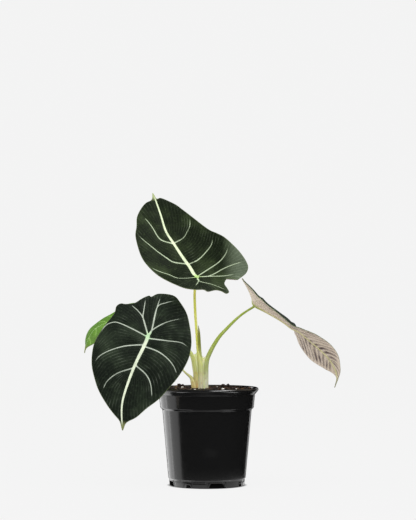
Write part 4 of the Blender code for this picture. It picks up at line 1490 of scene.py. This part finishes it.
soil_look = finish("potting_soil", crumbly)
grain_look = finish("soil_grain", grain_skin)
bark_look = finish("bark", bark_skin)
perlite_look = finish("perlite_grain", perlite_skin)
root_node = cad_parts["rhizome_roots"]
root_node.data.materials.clear()
root_node.data.materials.append(finish("root", root_skin))

# %% [markdown]
# A lumpy bed fills the pot. It is an outline turned round the axis like the pot itself, and
# its top is lifted by the highest of many half-sunk balls.

# %% The soil bed
SOIL_CENTRE_HEIGHT = 97.3
SOIL_EDGE_HEIGHT = 96.5
SOIL_RADIUS = COLLAR_TOP[0] - WALL - 0.3
COLUMN = (-7.1, 0.0)
LUMP_COUNT = 620
draw = np.random.default_rng(7)
lump_turn = draw.uniform(0, 2 * np.pi, LUMP_COUNT)
lump_reach = SOIL_RADIUS * np.sqrt(draw.uniform(0, 1, LUMP_COUNT))
lump_places = np.column_stack([lump_reach * np.cos(lump_turn), lump_reach * np.sin(lump_turn)])
lump_radii = draw.uniform(0.9, 3.0, LUMP_COUNT)
lump_radii[np.linalg.norm(lump_places - COLUMN, axis=1) < 13.0] *= 0.4


def soil_height(x, y):
    """The bed's height: a slow fall to the wall plus the highest lump, 0.55 sqrt(r^2 - d^2)."""
    flat = np.column_stack([np.ravel(x), np.ravel(y)])
    reach = np.linalg.norm(flat, axis=1)
    base = SOIL_CENTRE_HEIGHT + (SOIL_EDGE_HEIGHT - SOIL_CENTRE_HEIGHT) * reach / SOIL_RADIUS
    heights = []
    for part in np.array_split(flat, MEMORY_PARTS):
        gap = ((part[:, None] - lump_places[None]) ** 2).sum(-1)
        heights.append(np.sqrt(np.maximum(lump_radii**2 - gap, 0)).max(axis=1))
    return (base + 0.55 * np.concatenate(heights)).reshape(np.shape(x))


def soil_bed(rings=70, segments=260):
    """A closed turned bed: floor, wall and lumpy top."""
    wall = [
        (LEDGE[0] - WALL - 2.6, FLOOR_TOP + 0.3), (LEDGE[0] - WALL - 0.4, LEDGE[1] + 1.0),
        (BODY_TOP_RADIUS - WALL - 0.3, COLLAR_FOOT[1] - 2.0),
        (COLLAR_FOOT[0] - WALL - 0.3, COLLAR_FOOT[1] + 1.0), (SOIL_RADIUS, SOIL_EDGE_HEIGHT - 1.5),
    ]
    top_radii = np.linspace(SOIL_RADIUS, 0.6, rings)
    profile = np.vstack([wall, np.column_stack([top_radii, np.zeros(rings)])])
    points = turned_points(profile, segments)
    top = slice(len(wall), None)
    points[top, :, 2] = soil_height(points[top, :, 0], points[top, :, 1])
    middle = float(soil_height(np.zeros(1), np.zeros(1))[0])
    shell, faces = closed_rings(points, (0, 0, FLOOR_TOP + 0.3), (0, 0, middle))
    make_piece("soil_bed", shell, faces, [soil_look], ["potting_soil"])


soil_bed()

# %% [markdown]
# Many small grains lie on the bed. They are one mesh, made from one rough grain that is
# copied, turned and scaled as arrays. The bark chips and the perlite are pieces of their own,
# each in its node's box.

# %% Grains, bark chips and perlite


def grain_shape(rows, columns):
    """Unit directions of a sphere as rings from the top pole down, so its faces are turned over."""
    rise = np.pi * np.arange(1, rows + 1) / (rows + 1)
    turn = np.linspace(0, 2 * np.pi, columns, endpoint=False)
    out, height = np.sin(rise)[:, None], np.cos(rise)[:, None]
    rings = np.stack([out * np.cos(turn), out * np.sin(turn), height + 0 * turn], axis=-1)
    ways, faces = closed_rings(rings, (0, 0, 1), (0, 0, -1))
    return ways, [part[:, ::-1] for part in faces]


def scattered_grains(count=1500):
    """One grain copied count times: radial jitter, then stretch, turn about Z and place."""
    ways, faces = grain_shape(3, 6)
    jitter = draw.uniform(0.68, 1.2, (count, len(ways), 1))
    size = draw.uniform(0.45, 1.0, (count, 1, 1)) ** 2 * 1.7
    stretch = draw.uniform(0.6, 1.25, (count, 1, 3)) * [1.0, 1.0, 0.75]
    turn = draw.uniform(0, 2 * np.pi, count)
    cos, sin = np.cos(turn), np.sin(turn)
    spin = np.zeros((count, 3, 3))
    spin[:, 0, 0] = spin[:, 1, 1] = cos
    spin[:, 0, 1], spin[:, 1, 0], spin[:, 2, 2] = -sin, sin, 1
    shapes = np.einsum("nij,nkj->nki", spin, ways[None] * jitter * size * stretch)
    reach = (SOIL_RADIUS - 1.8) * np.sqrt(draw.uniform(0.02, 1, count))
    around = draw.uniform(0, 2 * np.pi, count)
    x, y = reach * np.cos(around), reach * np.sin(around)
    crowded = np.hypot((x - COLUMN[0]) / 1.3, y - COLUMN[1]) < 9.5
    shapes[crowded] *= 0.35
    z = soil_height(x, y) + size[:, 0, 0] * 0.25
    points = shapes + np.stack([x, y, z], axis=-1)[:, None]
    shift = (np.arange(count) * len(ways))[:, None, None]
    copies = [(part[None] + shift).reshape(-1, part.shape[1]) for part in faces]
    grain = np.repeat(draw.uniform(0, 1, count), len(ways))
    make_piece("soil_grains", points, copies, [grain_look], (), {"grain": grain})


def lump_in_box(name, node, look, rows, columns, cuts, roughness):
    """A broken lump: a sphere cut by random planes, roughened, and fitted to its node's box.

    The reach in a direction w is the least of depth / max(w . n, 0.3) over the planes' normals
    n, and the roughness adds sums of sines of the direction.
    """
    ways, faces = grain_shape(rows, columns)
    normals = draw.normal(size=(cuts, 3))
    normals /= np.linalg.norm(normals, axis=1, keepdims=True)
    depth = draw.uniform(0.6, 0.85, cuts)
    reach = np.minimum(np.min(depth / np.maximum(ways @ normals.T, 0.3), axis=1), 1)
    waves = draw.normal(size=(9, 3)) * draw.uniform(4, 14, (9, 1))
    ripple = np.sin(ways @ waves.T + draw.uniform(0, 6, 9)).sum(axis=1)
    shape = ways * (reach + roughness * ripple / 9)[:, None]
    shape = (shape - shape.min(axis=0)) / np.ptp(shape, axis=0)
    low, high = (np.array(corner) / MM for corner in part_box(node))
    points = low + shape * (high - low) - [0, 0, 0.5]
    make_piece(name, points, faces, [look], [node])


scattered_grains()
for index in range(1, 11):
    lump_in_box(
        f"bark_piece_{index}", f"bark_chip_{index}", bark_look,
        rows=22, columns=34, cuts=9, roughness=0.35,
    )
for index in range(1, 7):
    lump_in_box(
        f"perlite_piece_{index}", f"perlite_grain_{index}", perlite_look,
        rows=14, columns=22, cuts=6, roughness=0.25,
    )

# %% [markdown]
# ## The studio
# Product photographs of plants are taken on a white sweep: a floor that bends up into the
# wall, so no edge shows behind the object. A little glow in the sweep evens out what the lamps
# leave uneven. Close under the pot the glow dies away, which is a painted contact shadow.

# %% The sweep
SWEEP_GLOW = 0.885
PAINTED_SHADOW_RADII = (0.036, 0.042)


def studio_white(start):
    """The sweep's finish. Its glow dies away close under the pot, where no light reaches."""
    cloud = start.noise(1.5, detail=2)
    colour = cloud.mix(tint(33, 33, 32), tint(35, 35, 35))
    length = {"operation": "LENGTH"}
    across = start.node("ShaderNodeVectorMath", length, {0: start.place()}, output="Value")
    # Painted shadow: the glow fades to near black within 36 to 42 mm of the pot's axis.
    glow = across.between(*PAINTED_SHADOW_RADII).mix(tint(10, 10, 10), tint(255, 255, 255))
    return {"Base Color": colour, "Roughness": 0.9 + cloud * 0.05, "Emission Color": glow}


def sweep():
    """A floor that bends up into a wall: y back with z = 0, then an arc, then straight up."""
    reach, bend, wall, half_width = 2.5, 0.8, 3.0, 4.0
    turn = np.linspace(0, np.pi / 2, 25)
    floor = np.column_stack([np.linspace(-3.5, reach, 12), np.zeros(12)])
    arc = np.column_stack([reach + bend * np.sin(turn), bend * (1 - np.cos(turn))])
    upright = np.column_stack([np.full(8, reach + bend), np.linspace(bend, wall, 8)])
    line = np.vstack([floor, arc[1:], upright[1:]])
    across = np.linspace(-half_width, half_width, 9)
    points = np.stack(
        [across + 0 * line[:, :1], line[:, :1] + 0 * across, line[:, 1:] + 0 * across], axis=-1
    )
    mesh = bpy.data.meshes.new("studio_floor")
    mesh.from_pydata(points.reshape(-1, 3).tolist(), [], grid_faces(len(line), 9)[:, ::-1].tolist())
    constants = {"Emission Strength": SWEEP_GLOW, "Specular IOR Level": 0.0}
    mesh.materials.append(finish("studio_white", studio_white, **constants))
    mesh.shade_smooth()
    floor_piece = in_scene("studio_floor", mesh)
    floor_piece.visible_glossy = floor_piece.visible_shadow = False


sweep()

# %% [markdown]
# A big soft lamp hangs overhead and a smaller one fills in from the front.
#
# Black plastic shows hardly any colour of its own, only what it mirrors. Bright cards give it
# something to mirror, as a photographer would set them: two at the left and one at the right
# for the wall, one high up for the lip, three low ones for the collar's edge, and one on the
# floor for the foot. The cards show in reflections and give no other light.

# %% Lamps and cards


def area_light(name, place, aim, size, power, card=False, shape="RECTANGLE"):
    """A soft lamp. A card is one that only shiny surfaces see, and they don't see a lamp."""
    light = bpy.data.lights.new(name, "AREA")
    light.shape = shape
    light.size, light.size_y = size
    light.energy = power
    lamp = in_scene(name, light)
    lamp.location = place
    lamp.rotation_euler = (Vector(aim) - Vector(place)).to_track_quat("-Z", "Y").to_euler()
    lamp.visible_camera = False
    lamp.visible_diffuse = lamp.visible_transmission = not card
    lamp.visible_glossy = card
    print(name, "power:", power, "card" if card else "lamp")


area_light("overhead", (0.0, -0.5, 1.9), (0, 0, 0.15), (2.2, 1.6), 30)
area_light("front_fill", (0.6, -2.2, 1.3), (0, 0, 0.2), (1.4, 1.4), 14)
area_light("card_left", (-0.6, 0.08, -0.05), (0, 0, -0.05), (0.42, 0.8), 1.3, card=True)
area_light("card_left_rear", (-0.424, 0.424, -0.05), (0, 0, -0.05), (0.5, 0.8), 2.3, card=True)
area_light("card_right", (0.45, 0.95, 0.0), (0, 0, 0.0), (0.25, 0.8), 0.45, card=True)
area_light("card_lip", (0.5, -0.28, 0.92), (0, -0.05, 0.1), (1.3, 0.42), 21, card=True)
area_light("card_collar", (0, -0.12, 0.02), (0, -0.72, 0.82), (0.2, 0.07), 0.07, card=True)
for name, side in (("card_low_left", -1), ("card_low_right", 1)):
    place = (0.27 * side, -0.12, -0.225)
    area_light(name, place, (0.03 * side, -0.04, 0.085), (0.25, 0.06), 0.19, card=True)
area_light(
    "card_floor", (0.006, 0, 0.0005), (0.006, 0, 1), (0.116, 0.112), 0.026,
    card=True, shape="ELLIPSE",
)
world = bpy.data.worlds.new("studio")
world.use_nodes = True
background = world.node_tree.nodes["Background"]
background.inputs["Color"].default_value = (0.95, 0.97, 1.0, 1)
background.inputs["Strength"].default_value = 0.7
world.cycles_visibility.glossy = False
bpy.context.scene.world = world
bpy.context.scene.view_settings.view_transform = "Standard"

# %% [markdown]
# ## The camera and the end
# The camera stands where the photograph's did: level with the leaves, 1.8 metres away, with a
# long lens.

# %% The camera
LENS = 122.2
camera_data = bpy.data.cameras.new("view")
camera_data.sensor_width = 36.0
camera_data.lens = LENS
camera = in_scene("view", camera_data)
camera.location = Vector(EYE) * MM
camera.rotation_euler = (Vector(AIM) - Vector(EYE)).to_track_quat("-Z", "Y").to_euler()
bpy.context.scene.camera = camera
print("the camera stands this many metres away:", round(-camera.location.y, 2))
